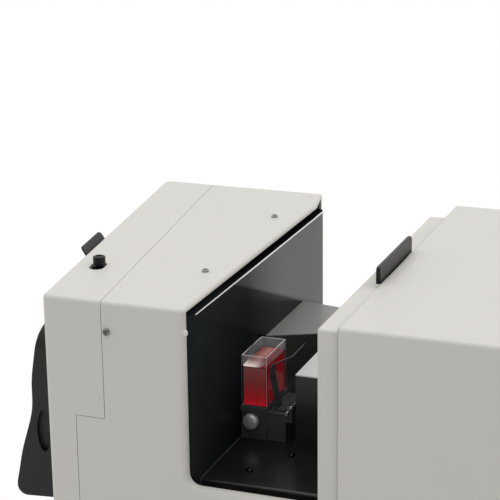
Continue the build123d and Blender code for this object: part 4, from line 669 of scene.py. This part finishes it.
def add_details():
    low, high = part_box("sample_liquid")
    wall = clear("cell_wall", (0.80, 0.77, 0.78), 0.22, level=high.z, wet=0.05,
                 across=(low.y, high.y))
    edge = clear("cell_edge", (0.95, 0.86, 0.86), 0.85, 0.15, level=high.z, wet=0.8)
    cell = new_piece("cell_glass", cell_walls, "cell", (wall, edge), ("sample_cell",))
    cell.visible_shadow = False
    red = liquid("red_liquid", low, high)
    filling = new_piece("cell_liquid", liquid_body, "cell", (red,), ("sample_liquid",))
    filling.visible_diffuse = False
    filling.visible_glossy = False
    thumb = metal("turned_steel", (0.98, 0.98, 0.98), 0.34, grain=1200.0, metallic=0.65)
    new_piece("thumb_knob", thumb_head, "thumb", (thumb,), ("thumb_screw",))
    white = moulded("stop_plastic", (0.88, 0.88, 0.86), 0.40, 900.0, 0.04, 0.01)
    new_piece("stop_bump", bump_stop, "chassis", (white,))
    bead = metal("bead_steel", (0.98, 0.98, 0.97), 0.14, grain=900.0)
    new_piece("liner_bead", liner_bead, "chassis", (bead,))
    grip = nodes["cover_handle"].data.materials[0]
    new_piece("handle_bar", handle_bar, "cover", (grip,), ("cover_handle",))


# ---------------------------------------------------------------- stage and light
def add_stage():
    """Pale floor, white to the camera, under the object."""
    mesh = bpy.data.meshes.new("floor")
    mesh.from_pydata([(-FLOOR_HALF, -FLOOR_HALF, 0), (FLOOR_HALF, -FLOOR_HALF, 0),
                      (FLOOR_HALF, FLOOR_HALF, 0), (-FLOOR_HALF, FLOOR_HALF, 0)],
                     [], [(0, 1, 2, 3)])
    floor = bpy.data.objects.new("floor", mesh)
    bpy.context.scene.collection.objects.link(floor)
    material = bpy.data.materials.new("floor_white")
    material.use_nodes = True
    tree = material.node_tree
    tree.nodes.clear()
    path = tree.nodes.new("ShaderNodeLightPath")
    plain = tree.nodes.new("ShaderNodeBsdfDiffuse")
    plain.inputs["Color"].default_value = (0.82, 0.82, 0.81, 1.0)
    glow = tree.nodes.new("ShaderNodeEmission")
    glow.inputs["Color"].default_value = (1.0, 1.0, 1.0, 1.0)
    mix = tree.nodes.new("ShaderNodeMixShader")
    out = tree.nodes.new("ShaderNodeOutputMaterial")
    seen = tree.nodes.new("ShaderNodeMath")
    seen.operation = "MAXIMUM"
    tree.links.new(path.outputs["Is Camera Ray"], seen.inputs[0])
    tree.links.new(path.outputs["Is Transmission Ray"], seen.inputs[1])
    tree.links.new(seen.outputs[0], mix.inputs["Fac"])
    tree.links.new(plain.outputs[0], mix.inputs[1])
    tree.links.new(glow.outputs[0], mix.inputs[2])
    tree.links.new(mix.outputs[0], out.inputs["Surface"])
    mesh.materials.append(material)


def add_light():
    """Bright studio behind and above, dimmer on the camera's side, white to the camera."""
    world = bpy.data.worlds.new("studio")
    bpy.context.scene.world = world
    world.use_nodes = True
    tree = world.node_tree
    back = tree.nodes["Background"]
    coords = tree.nodes.new("ShaderNodeTexCoord")
    split = tree.nodes.new("ShaderNodeSeparateXYZ")
    tree.links.new(coords.outputs["Generated"], split.inputs["Vector"])
    blend = tree.nodes.new("ShaderNodeMath")
    blend.operation = "MULTIPLY_ADD"
    blend.inputs[1].default_value = 0.7
    tree.links.new(split.outputs["Z"], blend.inputs[0])
    tree.links.new(split.outputs["Y"], blend.inputs[2])
    spread = tree.nodes.new("ShaderNodeMapRange")
    spread.inputs["From Min"].default_value = -0.9
    spread.inputs["From Max"].default_value = 0.7
    spread.inputs["To Min"].default_value = 0.25
    spread.inputs["To Max"].default_value = 0.86
    tree.links.new(blend.outputs[0], spread.inputs["Value"])
    seen = tree.nodes.new("ShaderNodeLightPath")
    white = tree.nodes.new("ShaderNodeMath")
    white.operation = "MAXIMUM"
    tree.links.new(spread.outputs["Result"], white.inputs[0])
    tree.links.new(seen.outputs["Is Camera Ray"], white.inputs[1])
    tree.links.new(white.outputs[0], back.inputs["Strength"])
    back.inputs["Color"].default_value = (1.0, 0.998, 0.993, 1.0)
    for name, place, size, power in (
            ("key", (-0.6, -0.4, 2.4), 2.0, 7.0),
            ("rim", (1.6, 1.6, 1.8), 1.4, 4.2)):
        data = bpy.data.lights.new(name, "AREA")
        data.shape = "SQUARE"
        data.size = size
        data.energy = power
        lamp = bpy.data.objects.new(name, data)
        lamp.location = place
        aim = Vector((0.0, 0.0, 0.2)) - Vector(place)
        lamp.rotation_mode = "QUATERNION"
        lamp.rotation_quaternion = aim.to_track_quat("-Z", "Y")
        bpy.context.scene.collection.objects.link(lamp)


bpy.context.scene.view_settings.view_transform = "Standard"
dress_nodes()
add_details()
add_stage()
add_light()
add_camera()
bpy.context.view_layer.update()
